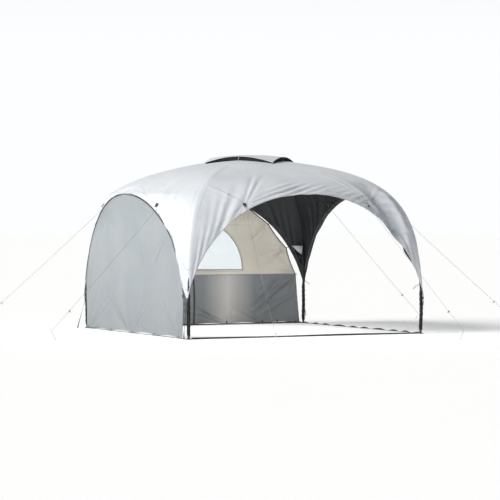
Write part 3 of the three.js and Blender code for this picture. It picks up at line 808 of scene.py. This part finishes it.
def add_arch_bindings(ring, normal, edges):
    """Black tape sewn inside each arch, along the edge of the cloth."""
    for name, quarter in SIDES:
        columns = slice(quarter * CANOPY_COLUMNS + 2, (quarter + 1) * CANOPY_COLUMNS - 1)
        rows = []
        for width in (0.0, 0.35, 0.7, 1.0):
            depth = edges[:, columns]
            target = width * ARCH_TAPE + 0.001
            spot = np.array([np.interp(target, depth[:18, j], np.arange(18)) for j in range(depth.shape[1])])
            low = np.floor(spot).astype(int)
            share = (spot - low)[:, None]
            index = np.arange(depth.shape[1])
            here = ring[:, columns][low, index] * (1 - share) + ring[:, columns][low + 1, index] * share
            rows.append(here - normal[:, columns][low, index] * 0.0035)
        rows = np.array(rows)
        tape = sheet_mesh(f"arch_tape_{name}", rows.reshape(-1, 3), grid_faces(4, rows.shape[1]),
                          [MATERIALS["webbing"]], None, 0.0012)
        place_on(tape, "shelter", "webbing")


def diamond(half, count):
    """Grid of places on a square turned by an eighth: its own two coordinates, and the frame's."""
    spots = np.linspace(-half, half, count)
    u, v = np.meshgrid(spots, spots)
    return u, v, (u - v) / math.sqrt(2), (u + v) / math.sqrt(2)


def cap_height(u, v):
    """Height of the vent cap over a place in its own two coordinates."""
    a, b = (u / CAP_HALF) ** 2, (v / CAP_HALF) ** 2
    corner = float(roof_height(0.0, CAP_HALF * math.sqrt(2))) + CAP_SEAT
    lift = float(height_at(CAP_HALF)) + CAP_SLOT - corner
    return corner + lift * (1 - a * b) + CAP_RISE * (1 - a) * (1 - b)


def add_cap():
    """Vent cap: a shallow square sheet held up over the poles, its corners down on the canopy."""
    count = 61
    u, v, x, y = diamond(CAP_HALF, count)
    a, b = (u / CAP_HALF) ** 2, (v / CAP_HALF) ** 2
    points = np.stack([x, y, cap_height(u, v)], -1).reshape(-1, 3)
    hold = (1 - a * b).reshape(-1)
    points[:, 2] += 0.004 * ripple(points, 5.0, 31) * hold
    edge = CAP_HALF - np.maximum(np.abs(u), np.abs(v)).reshape(-1)
    cap = sheet_mesh("vent_cap_sheet", points, grid_faces(count, count),
                     [MATERIALS["canopy"], MATERIALS["canopy_inside"]], {"edge": edge * 4, "hip": edge + 1}, 0.0015)
    place_on(cap, "shelter", "canopy_cloth", "vent_cap")


def add_netting():
    """Crown netting, with a border that stands up to the cap's edges and closes the vent slots."""
    count = 41
    u, v, x, y = diamond(CROWN_HALF - 0.002, count)
    points = np.stack([x, y, roof_height(x, y) - 0.002], -1).reshape(-1, 3)
    faces = grid_faces(count, count)
    ring = [j for j in range(count)] + [i * count + count - 1 for i in range(1, count)]
    ring += [count * (count - 1) + j for j in range(count - 2, -1, -1)] + [i * count for i in range(count - 2, 0, -1)]
    cu, cv = u.reshape(-1)[ring] / CROWN_HALF, v.reshape(-1)[ring] / CROWN_HALF
    rim = np.stack([(cu - cv) / math.sqrt(2), (cu + cv) / math.sqrt(2)], -1) * (CAP_HALF - 0.006)
    upper = np.column_stack([rim, cap_height(cu * (CAP_HALF - 0.006), cv * (CAP_HALF - 0.006)) - 0.004])
    start = len(points)
    middle = (points[ring] + upper) / 2
    points = np.concatenate([points, middle, upper])
    size = len(ring)
    lower = [*ring, *range(start, start + size)]
    for level in range(2):
        for j in range(size):
            k = (j + 1) % size
            a, b = lower[level * size + j], lower[level * size + k]
            faces.append((a, b, start + level * size + k, start + level * size + j))
    netting = sheet_mesh("netting_sheet", points, faces, [MATERIALS["netting"]], None, 0.0008)
    place_on(netting, "shelter", "netting", "crown_netting")


# ---------------------------------------------------------------- walls
def left_wall_edges(z):
    """Rear and front edge of the left wall at each height, as distances from its middle."""
    share = part((z - WALL_LIFT) / (WALL_SIDE_Z - WALL_LIFT))
    half = opening_at(np.maximum(z, WALL_SIDE_Z)) - WALL_INSET
    rear = LEFT_REAR_FOOT + (np.minimum(WALL_MAX_HALF, half) - LEFT_REAR_FOOT) * share
    knee = np.minimum(WALL_MAX_HALF, half - left_pull(np.maximum(z, WALL_SIDE_Z)))
    return rear, LEFT_FRONT_FOOT + (knee - LEFT_FRONT_FOOT) * share


def crease(value, centre, width, depth):
    """A sharp pressed fold across a sheet."""
    return depth * np.exp(-np.abs(value - centre) / width)


def pillow(value, low, high, depth):
    """The soft bulge of a sheet between two pressed folds."""
    share = part((value - low) / (high - low))
    return depth * np.sin(share * math.pi)


def left_wall_relief(y, z):
    """How far the left wall's cloth stands outwards: folds from packing, pull from the pegs, slack."""
    place = np.stack([y, z], -1)
    seeds = np.stack([y, z, np.zeros_like(y)], -1)
    relief = 0.012 * ripple(seeds, 0.8, 41) + 0.006 * ripple(seeds, 1.9, 42)
    bend = z + 0.012 * np.sin(y * 1.7)
    for low, high, depth in ((0.02, 0.49, 0.026), (0.49, 1.05, -0.022), (1.05, 1.49, 0.028), (1.49, 1.86, -0.016)):
        relief += pillow(bend, low, high, depth)
    for level in (0.49, 1.05, 1.49):
        relief += crease(bend, level, 0.012, 0.005)
    lean = y + 0.03 * z
    for low, high, depth in ((-1.7, -0.95, 0.012), (-0.95, -0.28, -0.010), (-0.28, 0.55, 0.016), (0.55, 1.7, -0.012)):
        relief += pillow(lean, low, high, depth)
    relief += crease(lean, -0.28, 0.018, 0.006)
    relief += 0.022 * bell((y - 0.05 - 0.42 * z) / (0.05 + 0.16 * z)) * part(1 - z / 1.15)
    for (y0, z0), (y1, z1), size in (
            ((0.05, 0.0), (1.3, 0.85), 0.016), ((0.05, 0.0), (0.75, 0.5), 0.010), ((0.05, 0.0), (-0.6, 0.5), 0.009),
            ((1.62, 0.0), (0.8, 0.45), 0.012), ((1.62, 0.0), (1.25, 0.8), 0.009),
            ((-1.5, 0.0), (-0.8, 0.6), 0.010), ((-1.25, 1.3), (-0.5, 0.9), 0.009), ((0.75, 1.72), (0.3, 1.3), 0.008),
            ((1.1, 1.55), (0.7, 1.45), 0.007)):
        relief += tension(place, (y0, z0), (y1, z1), 0.07, 4.2, 1.5 * size, int(10 * y0) + 60)
    return relief * np.clip(z / 0.05, 0.15, 1)


def left_wall_rows():
    """Heights of the left wall's rows of points, from the ground to the arch's top."""
    start = np.searchsorted(OPENING_LINE[:, 1], WALL_SIDE_Z)
    picked = np.linspace(start, len(STEPS) - 25, 96).astype(int)
    arch = OPENING_LINE[picked, 1] - 0.004
    return np.concatenate([np.linspace(WALL_LIFT, WALL_SIDE_Z, 34, endpoint=False), arch])


def add_left_wall():
    columns = 161
    z = left_wall_rows()
    rear, front = left_wall_edges(z)
    across = np.linspace(0, 1, columns)[None]
    y = rear[:, None] + (-front - rear)[:, None] * across
    height = np.broadcast_to(z[:, None], y.shape)
    relief = left_wall_relief(y.reshape(-1), height.reshape(-1)).reshape(y.shape)
    boundary = np.concatenate([np.stack([rear, z], -1), np.stack([-front, z], -1)])
    edge = distance_to(np.stack([y, height], -1).reshape(-1, 2), boundary)
    relief = relief * part(edge.reshape(y.shape) / 0.14)
    scallop = 0.026 * np.abs(np.sin((y - 0.05) * math.pi / 0.8)) ** 1.3
    lifted = height + scallop * part(1 - height / 0.25)
    x = -HALF_SIDE + 0.0005 - relief - left_lean(height)
    points = np.stack([x, y, lifted], -1).reshape(-1, 3)
    wall = sheet_mesh("left_wall_sheet", points, grid_faces(len(z), columns), [MATERIALS["left_wall"]],
                      {"edge": edge}, 0.001)
    place_on(wall, "left_wall", "side_wall_cloth", "left_wall")


def add_left_zip():
    """Zip tape along the left arch: one half sewn to the wall, the other to the canopy."""
    z = left_wall_rows()
    z = z[z >= 0.52]
    rear, front = left_wall_edges(z)
    y = np.concatenate([rear, -front[::-1]])
    height = np.concatenate([z, z[::-1]])
    line = np.stack([-HALF_SIDE - left_lean(height) - 0.002, y, height], -1)
    centre = np.array([-HALF_SIDE - 0.05, 0.0, 0.9])
    outward = np.array([unit((p - centre) * (0, 1, 1)) for p in line])
    for name, body, shift in (("zip_tape_wall", "left_wall", 0.0), ("zip_tape_canopy", "shelter", 0.0105)):
        tape = ribbon(name, line + outward * shift, outward, 0.01, MATERIALS["zip"], 0.0014, body)


def outline_radius(outline, centre, angles):
    """Distance from a centre to an outline in each direction."""
    rel = np.array(outline) - centre
    found = np.arctan2(rel[:, 1], rel[:, 0])
    order = np.argsort(found)
    radius = np.hypot(rel[:, 0], rel[:, 1])
    return np.interp(angles, found[order], radius[order], period=2 * math.pi)


def scalloped(points, sag, steps=14):
    """A line through points that sags sideways, towards the right hand, between each two of them."""
    line = []
    for a, b in zip(points[:-1], points[1:]):
        a, b = np.array(a, float), np.array(b, float)
        inward = unit(np.array([(b - a)[1], -(b - a)[0]]))
        for share in np.linspace(0, 1, steps, endpoint=False):
            line.append(a + (b - a) * share + inward * sag * 4 * share * (1 - share))
    line.append(np.array(points[-1], float))
    return line


def back_wall_outline():
    half = [(0, 1.825), (0.43, 1.795), (0.85, 1.69), TOGGLES[2], TOGGLES[1], TOGGLES[0], (BACK_FOOT, WALL_LIFT)]
    right = scalloped(half[:4], 0.0)[:-1] + scalloped(half[3:6], 0.014)[:-1] + scalloped(half[5:], 0.006)
    left = [(-x, z) for x, z in reversed(right)]
    base = np.linspace(-BACK_FOOT, BACK_FOOT, 120)[1:-1]
    bottom = [(x, WALL_LIFT + 0.022 * abs(math.sin((x - 0.465) * math.pi / 0.585)) ** 0.8) for x in base]
    return [tuple(p) for p in right][::-1] + [tuple(p) for p in left][::-1][1:-1] + bottom


def window_outline(grow=0.0):
    arch = [((WINDOW_HALF + grow) * math.cos(a), WINDOW_Z - grow + (WINDOW_RISE + 2 * grow) * math.sin(a))
            for a in np.linspace(0, math.pi, 80)]
    base = [(x, WINDOW_Z - grow) for x in np.linspace(-WINDOW_HALF - grow, WINDOW_HALF + grow, 60)[1:-1]]
    return arch + base


def back_wall_relief(x, z):
    """How far the back wall's cloth stands inwards: star folds at the toggles, gathers, pulls from the pegs."""
    place = np.stack([x, z], -1)
    seeds = np.stack([x, z, np.ones_like(x)], -1)
    relief = 0.014 * ripple(seeds, 1.4, 51) + 0.005 * ripple(seeds, 3.6, 52)
    for hand in (-1, 1):
        for spot, (tx, tz) in enumerate(TOGGLES):
            for turn, size in ((-2.95, 0.022), (-2.55, 0.028), (2.9, 0.022), (2.45, 0.020), (-2.1, 0.016)):
                reach = 0.42 + 0.15 * math.sin(spot * 4 + turn * 3)
                end = (hand * (tx + reach * math.cos(turn)), tz + reach * math.sin(turn))
                relief += tension(place, (hand * tx, tz), end, 0.045, 4.0, size)
    low = z < LOW_SEAM
    pulls = ((1.60, 0.70, 0.72, 0.08, 0.020), (1.35, 0.70, 0.82, 0.25, 0.014), (1.62, 0.45, 0.95, 0.10, 0.016),
             (0.465, 0.01, -0.62, 0.40, 0.022), (0.30, 0.05, -0.75, 0.62, 0.016), (0.10, 0.10, -0.60, 0.68, 0.012),
             (1.05, 0.01, 0.55, 0.30, 0.010), (1.05, 0.01, 1.35, 0.38, 0.010), (0.465, 0.01, 0.62, 0.40, 0.008),
             (-1.5, 0.02, -0.7, 0.7, 0.012))
    for x0, z0, x1, z1, size in pulls:
        relief += np.where(low, tension(place, (x0, z0), (x1, z1), 0.085, 4.8, 1.8 * size), 0)
    relief += np.where(low, 0.02 * np.sin(x * 2 * math.pi / 0.75 + 0.6) * part((LOW_SEAM - z) / 0.2), 0)
    gather = part((z - HIGH_SEAM) / 0.08)
    relief += 0.016 * gather * np.sin(x * 2 * math.pi / 0.075 + 3.0 * ripple(seeds, 2.0, 54))
    hang = part((HIGH_SEAM - z) / 0.02) * np.exp(-np.abs(HIGH_SEAM - z) / 0.07)
    hang = hang + part((LOW_SEAM - z) / 0.02) * np.exp(-np.abs(LOW_SEAM - z) / 0.06)
    relief += 0.005 * hang * np.sin(x * 2 * math.pi / 0.055 + 3.0 * ripple(seeds, 2.4, 55))
    for level, depth in ((HIGH_SEAM, 0.010), (LOW_SEAM, 0.010)):
        relief += crease(z, level, 0.014, depth)
    return relief


def around_window(radius, angles):
    """Places on the back wall's plane, from distances and directions about the window's middle."""
    return WINDOW_MIDDLE[0] + radius * np.cos(angles), WINDOW_MIDDLE[1] + radius * np.sin(angles)


def add_back_wall():
    columns, rows = 420, 56
    angles = np.linspace(-math.pi, math.pi, columns, endpoint=False)
    inner = outline_radius(window_outline(), WINDOW_MIDDLE, angles)
    outer = outline_radius(back_wall_outline(), WINDOW_MIDDLE, angles)
    share = np.linspace(0, 1, rows)[:, None]
    x, z = around_window(inner + (outer - inner) * share, angles)
    place = np.stack([x, z], -1)
    edge = distance_to(place.reshape(-1, 2), place[-1])
    window = distance_to(place.reshape(-1, 2), place[0])
    relief = back_wall_relief(x.reshape(-1), z.reshape(-1))
    relief *= np.clip(edge / 0.05, 0.25, 1) * np.clip(window / 0.06, 0.2, 1) * np.clip(z.reshape(-1) / 0.05, 0.2, 1)
    beside_zip = bell(((x - BACK_ZIP_X) / 0.09).reshape(-1)) * (z.reshape(-1) < 0.8)
    relief = relief * (1 - beside_zip) - 0.002 * beside_zip
    y = BACK_WALL_Y + 0.0012 - relief.reshape(x.shape)
    points = np.stack([x, y, z], -1).reshape(-1, 3)
    level = np.minimum(np.abs(points[:, 2] - HIGH_SEAM), np.abs(points[:, 2] - LOW_SEAM))
    wall = sheet_mesh("back_wall_sheet", points, grid_faces(rows, columns, wrap=True), [MATERIALS["back_wall"]],
                      {"edge": edge, "window": window, "level": level}, 0.001)
    place_on(wall, "back_wall", "back_wall_cloth", "back_wall")


def add_window():
    """Clear film behind the window opening, and the binding sewn round it."""
    columns, rows = 180, 24
    angles = np.linspace(-math.pi, math.pi, columns, endpoint=False)
    outer = outline_radius(window_outline(0.014), WINDOW_MIDDLE, angles)
    share = np.linspace(0.02, 1, rows)[:, None]
    x, z = around_window(outer * share, angles)
    seeds = np.stack([x, z, np.zeros_like(x)], -1).reshape(-1, 3)
    bulge = 0.010 * ripple(seeds, 2.4, 61).reshape(x.shape) * (1 - share ** 2)
    y = BACK_WALL_Y - 0.0012 - 0.006 * (1 - share ** 4) + bulge
    points = np.stack([x, y, z], -1).reshape(-1, 3)
    faces = grid_faces(rows, columns, wrap=True) + [tuple(range(columns - 1, -1, -1))]
    film = sheet_mesh("window_sheet", points, faces, [MATERIALS["film"]], None, 0.0005)
    place_on(film, "back_wall", "window_film", "window_film")
    loop = np.array(window_outline(0.004) + window_outline(0.004)[:1])
    loop = np.stack([loop[:, 0], np.full(len(loop), BACK_WALL_Y - 0.005), loop[:, 1]], -1)
    middle = np.array([0, BACK_WALL_Y - 0.005, WINDOW_MIDDLE[1]])
    inward = np.array([unit(p) for p in middle - loop])
    binding = ribbon("window_binding", loop, inward, 0.016, MATERIALS["back_wall"], 0.0014, "back_wall")


def add_back_edging():
    """Black elastic edging up both sides of the back wall, drawn out to each toggle."""
    for hand, label in ((-1, "left"), (1, "right")):
        side = scalloped([(0.43, 1.795), (0.85, 1.69), TOGGLES[2]], 0.0)[:-1] + scalloped(TOGGLES[::-1], 0.014)
        line = np.array([(hand * x, BACK_WALL_Y - 0.003, z) for x, z in side])
        towards = np.array([unit(np.array([0, BACK_WALL_Y - 0.003, 0.9]) - p) for p in line])
        edging = ribbon(f"back_edging_{label}", line + towards * 0.007, towards, 0.016, MATERIALS["webbing"], 0.002,
                        "back_wall")


# ---------------------------------------------------------------- ground webbing
def add_ground_straps():
    """Webbing from foot to foot: the right one twisted, the left one flat under its wall, the others tilted."""
    for name, quarter in SIDES:
        low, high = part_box(f"ground_strap_{name}")
        size = np.array(high) - np.array(low)
        half = max(size[0], size[1]) / 2
        out = abs((np.array(low) + np.array(high))[1 if name in ("front", "rear") else 0]) / 2
        along = np.linspace(-1, 1, 241)
        twist = (0.1 if name == "left" else 1.0) * (1.0 + 0.25 * np.sin(along * 5))
        if name == "right":
            twist = math.pi * 4.4 * (along + 0.03 * np.sin(along * 9))
        rise = 0.0012 + 0.0115 * np.abs(np.sin(twist))
        wander = 0.006 * np.sin(along * 3.1) + 0.003 * np.sin(along * 11 + quarter)
        centres = np.stack([along * half, -out + wander, rise], -1)
        across = np.stack([0 * along, np.cos(twist), np.sin(twist)], -1)
        strap = ribbon(f"ground_webbing_{name}", turned(centres, quarter), turned(across, quarter), 0.024,
                       MATERIALS["webbing"], 0.0018)
        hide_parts(f"ground_strap_{name}")


# ---------------------------------------------------------------- small sewn pieces
def add_strap(name, points, across, width, body="shelter"):
    """A short webbing strap through points, smoothed, with the direction of its width at each end."""
    points = np.array(points, float)
    spots = np.linspace(0, len(points) - 1, 8 * (len(points) - 1) + 1)
    line = np.stack([np.interp(spots, range(len(points)), points[:, k]) for k in range(3)], -1)
    for _ in range(6):
        line[1:-1] = (line[:-2] + 2 * line[1:-1] + line[2:]) / 4
    first, last = unit(across[0]), unit(across[-1])
    shares = np.linspace(0, 1, len(line))[:, None]
    widths = first * (1 - shares) + last * shares
    widths = widths / np.linalg.norm(widths, axis=1, keepdims=True)
    strap = ribbon(name, line, widths, width, MATERIALS["webbing"], 0.0018, body)


def surface_frame(quarter, share, z):
    """A place on a canopy panel with the directions across, up and out of the cloth."""
    here = panel_point(share, z)
    across = unit(panel_point(share + 0.01, z) - panel_point(share - 0.01, z))
    rise = unit(panel_point(share, z + 0.005) - panel_point(share, z - 0.005))
    out = unit(np.cross(across, rise))
    return [turned(v, quarter) for v in (here, across, np.cross(out, across), out)]


def add_tabs():
    """Guy line tabs: a black patch sewn on the arch seam and a loop that takes the line."""
    corner = float(corner_at(TAB_Z))
    for name, quarter in SIDES:
        for hand, label in ((-1, "a"), (1, "b")):
            tab, _, _, along, _ = guy_frame(hand, name == "left")
            here, across, rise, out = surface_frame(quarter, TAB_ALONG / corner * hand, TAB_Z)
            proud = float(left_lean(TAB_Z)) - TAB_LEAN if name == "left" else 0
            here = turned(tab - np.array([0, proud, 0]), quarter) + out * 0.006
            along = turned(along, quarter)
            side = unit(np.cross(along, out))
            outline = ((-0.024, 0.034), (0.024, 0.034), (0.019, 0.0), (0.0, -0.024), (-0.019, 0.0))
            points = [here + across * a + rise * b for a, b in outline]
            patch = sheet_mesh(f"tab_patch_{name}_{label}", points, [(0, 4, 3, 2, 1)], [MATERIALS["webbing"]], None,
                               0.002)
            place_on(patch, "shelter", "webbing")
            loop = [here + rise * 0.01, here + along * 0.016 + out * 0.005, here + along * (TAB_REACH - 0.004),
                    here + along * 0.016 - out * 0.004, here - rise * 0.012]
            add_strap(f"tab_loop_{name}_{label}", loop, (side, side), 0.018)


def add_leg_tips():
    """At each leg: the binding of the canopy's tip, a buckle, and the hanging tails of its straps."""
    for name, sign_x, sign_y in CORNERS:
        spot = np.interp(0.5, POLE_LINE[:, 1], STEPS)
        tip = pole_point(spot, sign_x, sign_y)
        out = np.array([sign_x, sign_y, 0]) / math.sqrt(2)
        side = np.array([-out[1], out[0], 0])
        down = np.array([0, 0, -1.0])
        add_sleeve(name, sign_x, sign_y)
        buckle = frame_matrix(tip + out * (SLEEVE_R + 0.006) + down * 0.012, side, -down, -out)
        from_bmesh(f"tip_buckle_{name}", buckle_mesh(), MATERIALS["plastic"], buckle)
        strap = [tip + out * (SLEEVE_R + 0.008) - down * 0.035, tip + out * (SLEEVE_R + 0.012) + down * 0.02,
                 tip + out * (SLEEVE_R + 0.006) + down * 0.12]
        add_strap(f"tip_strap_{name}", strap, (side, side), 0.02)
    across = np.array([0.0, 1.0, 0.0])
    tails = {
        "rear_left_ground": ((-1.76, 1.70, 0.42), (-1.80, 1.70, 0.29), (-1.865, 1.70, 0.09), (-1.885, 1.70, 0.004)),
        "front_right_tail": ((1.715, -1.72, 0.67), (1.66, -1.715, 0.645), (1.615, -1.71, 0.60)),
        "rear_right_tail": ((1.735, 1.70, 0.63), (1.77, 1.70, 0.605), (1.82, 1.70, 0.575)),
        "rear_right_low": ((1.73, 1.70, 0.22), (1.75, 1.70, 0.17), (1.757, 1.70, 0.11)),
        "front_left_ground": ((-1.765, -1.745, 0.47), (-1.79, -1.74, 0.25), (-1.80, -1.74, 0.08),
                              (-1.80, -1.74, 0.003)),
    }
    for name, points in tails.items():
        low = points[-1][2] < 0.01
        add_strap(f"strap_{name}", points, (across, (1.0, 0.2, 0.1) if low else across), 0.018)


def add_sleeve(name, sign_x, sign_y):
    """Black cloth sleeve over a leg, from the canopy's tip down to the foot."""
    low, high = (float(np.interp(z, POLE_LINE[:, 1], STEPS)) for z in (0.05, 0.58))
    columns, rows = 28, 40
    ring = []
    for row, spot in enumerate(np.linspace(low, high, rows)):
        middle = pole_point(spot, sign_x, sign_y)
        share = row / (rows - 1)
        for angle in np.linspace(0, 2 * math.pi, columns, endpoint=False):
            fold = 0.0022 * math.sin(5 * angle + 9 * share) + 0.0016 * math.sin(share * 46 + 3 * math.cos(angle))
            radius = SLEEVE_R - 0.002 * share + fold
            ring.append(middle + np.array([math.cos(angle) * radius, math.sin(angle) * radius, 0]))
    sleeve = sheet_mesh(f"leg_sleeve_{name}", ring, grid_faces(rows, columns, wrap=True), [MATERIALS["sleeve"]],
                        None, 0.001)
    place_on(sleeve, "shelter", "webbing")


def buckle_mesh():
    """A ladder buckle: two side rails, three bars and a lip."""
    edit = bmesh.new()
    for centre, size in (((-0.014, 0, 0), (0.004, 0.034, 0.005)), ((0.014, 0, 0), (0.004, 0.034, 0.005)),
                         ((0, 0.015, 0), (0.03, 0.005, 0.005)), ((0, 0.001, 0.001), (0.03, 0.004, 0.004)),
                         ((0, -0.015, 0.001), (0.03, 0.006, 0.006))):
        bar = rounded_block(size, 0.0012)
        bmesh.ops.translate(bar, verts=bar.verts, vec=centre)
        mesh = bpy.data.meshes.new("bar")
        bar.to_mesh(mesh)
        bar.free()
        edit.from_mesh(mesh)
        bpy.data.meshes.remove(mesh)
    return edit


def add_wall_pegs():
    """Elastic loops along the bottoms of the walls."""
    for k, y in enumerate((1.62, 0.78, 0.05, -0.68, -1.46)):
        points = ((-1.752, y - 0.012, 0.04), (-1.765, y, 0.012), (-1.772, y + 0.002, 0.003))
        add_strap(f"left_wall_loop_{k}", points, ((0, 1, 0), (0, 1, 0)), 0.014, "left_wall")
    for k, x in enumerate((-1.55, -0.8, 0.465, 1.05, 1.29, 1.6)):
        points = ((x, BACK_WALL_Y - 0.001, 0.06), (x + 0.006, BACK_WALL_Y - 0.012, 0.02),
                  (x + 0.012, BACK_WALL_Y - 0.03, 0.003))
        add_strap(f"back_wall_loop_{k}", points, ((1, 0, 0), (1, 0, 0)), 0.016, "back_wall")


def add_back_zip():
    """Zip down the middle of the back wall's lower panel."""
    z = np.linspace(0.012, LOW_SEAM, 60)
    line = np.stack([BACK_ZIP_X + 0.012 * np.sin(z * 5), np.full(60, BACK_WALL_Y - 0.0005), z], -1)
    tape = ribbon("back_zip_tape", line, [(1, 0, 0)] * 60, 0.03, MATERIALS["zip"], 0.0014, "back_wall")


def add_inner_patch():
    """Grey reinforcement gusset across the pole inside the rear right corner, and a black one under it."""
    rear, _, _, rear_out = surface_frame(2, -0.895, 1.15)
    right, _, _, right_out = surface_frame(1, 0.975, 1.15)
    low = pole_point(float(np.interp(1.02, POLE_LINE[:, 1], STEPS)), 1, 1) - np.array([0.035, 0.035, 0])
    corners = {"corner_patch": [rear - rear_out * 0.01, right - right_out * 0.035, low],
               "corner_patch_low": [low + np.array([-0.09, 0.055, 0.055]), low + np.array([0.012, -0.004, 0.01]),
                                    low + np.array([-0.005, 0.01, -0.10])]}
    for name, points in corners.items():
        material = "patch" if name == "corner_patch" else "sleeve"
        patch = sheet_mesh(name, points, [(0, 1, 2)], [MATERIALS[material]], None, 0.0015)
        place_on(patch, "shelter", "canopy_cloth" if name == "corner_patch" else "webbing")


# ---------------------------------------------------------------- the studio
def add_stage():
    floor_mesh = bpy.data.meshes.new("floor")
    edit = bmesh.new()
    bmesh.ops.create_circle(edit, cap_ends=True, radius=150, segments=64)
    edit.to_mesh(floor_mesh)
    edit.free()
    floor = new_object("floor", floor_mesh)
    floor.location.z = -0.0005
    g = Graph("floor_paint")
    tone = g.mix(g.noise(0.6, 3.0), (0.90, 0.90, 0.895), (0.92, 0.92, 0.915))
    paint = g.surface(Base_Color=tone, Roughness=0.85, Emission_Color=(1, 1, 1, 1))
    paint.inputs["Emission Strength"].default_value = FLOOR_GLOW
    floor_mesh.materials.append(g.finish(paint))


def add_studio_light():
    """A pale backdrop, a dimmer ceiling, a dark flag on one side, a soft key light and a fill under the crown."""
    world = bpy.data.worlds.new("studio")
    bpy.context.scene.world = world
    g = Graph("studio", world)
    place = g.node("ShaderNodeTexCoord").outputs["Generated"]
    axes = g.node("ShaderNodeSeparateXYZ", {"Vector": place}).outputs
    lean = g.spread(axes["X"], -1.0, 1.0, 1 + LEFT_BIAS, 1 - LEFT_BIAS)
    values = {"Value": axes["Z"], "From Min": 0.06, "From Max": 0.32, "To Min": BACKDROP,
              "To Max": g.math("MULTIPLY", lean, CEILING)}
    climb = g.node("ShaderNodeMapRange", values, interpolation_type="SMOOTHSTEP").outputs["Result"]
    side = g.node("ShaderNodeVectorMath", {0: place, 1: FLAG_SIDE}, operation="DOT_PRODUCT").outputs["Value"]
    flag = g.spread(side, 0.0, 0.6, 0.0, 1.0)
    strength = g.math("MULTIPLY", climb, g.spread(flag, 0.0, 1.0, 1.0, FLAG))
    colour = g.mix(flag, (0.985, 0.992, 1.0), (0.62, 0.78, 1.0))
    sky = g.node("ShaderNodeBackground", {"Color": colour, "Strength": strength})
    g.node("ShaderNodeOutputWorld", {"Surface": sky.outputs[0]})

    sun_data = bpy.data.lights.new("key", "SUN")
    sun_data.energy = KEY_LIGHT
    sun_data.angle = math.radians(KEY_SPREAD)
    sun_data.color = (1.0, 0.99, 0.97)
    sun = new_object("key", sun_data)
    sun.rotation_euler = (math.radians(KEY_TILT), 0, math.radians(KEY_AZIMUTH))
    fill_data = bpy.data.lights.new("fill", "AREA")
    fill_data.energy = FILL_LIGHT
    fill_data.size = 2.6
    fill = new_object("fill", fill_data)
    fill.location = (0, 0, 1.75)
    fill.visible_camera = False
    fill.visible_glossy = False
    fill.visible_transmission = False
    bpy.context.scene.view_settings.view_transform = "Standard"


def dress_frame():
    """Materials of the CAD nodes that stay as they are."""
    looks = {"leg_": "leg", "ferrule_": "leg", "roof_rod_": "rod", "foot_": "plastic", "crown_hub": "plastic",
             "vent_prop_": "prop", "guy_slider_": "plastic", "stake_": "stake", "wall_toggle_": "plastic",
             "left_zip": "leg", "back_zip": "leg"}
    for name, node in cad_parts.items():
        for start, look in looks.items():
            if name.startswith(start):
                node.data.materials.clear()
                node.data.materials.append(MATERIALS[look])


add_camera()
add_guys()
add_canopy()
add_cap()
add_netting()
add_left_wall()
add_left_zip()
add_back_wall()
add_window()
add_back_edging()
add_back_zip()
add_wall_pegs()
add_tabs()
add_leg_tips()
add_inner_patch()
add_ground_straps()
dress_frame()
add_stage()
add_studio_light()
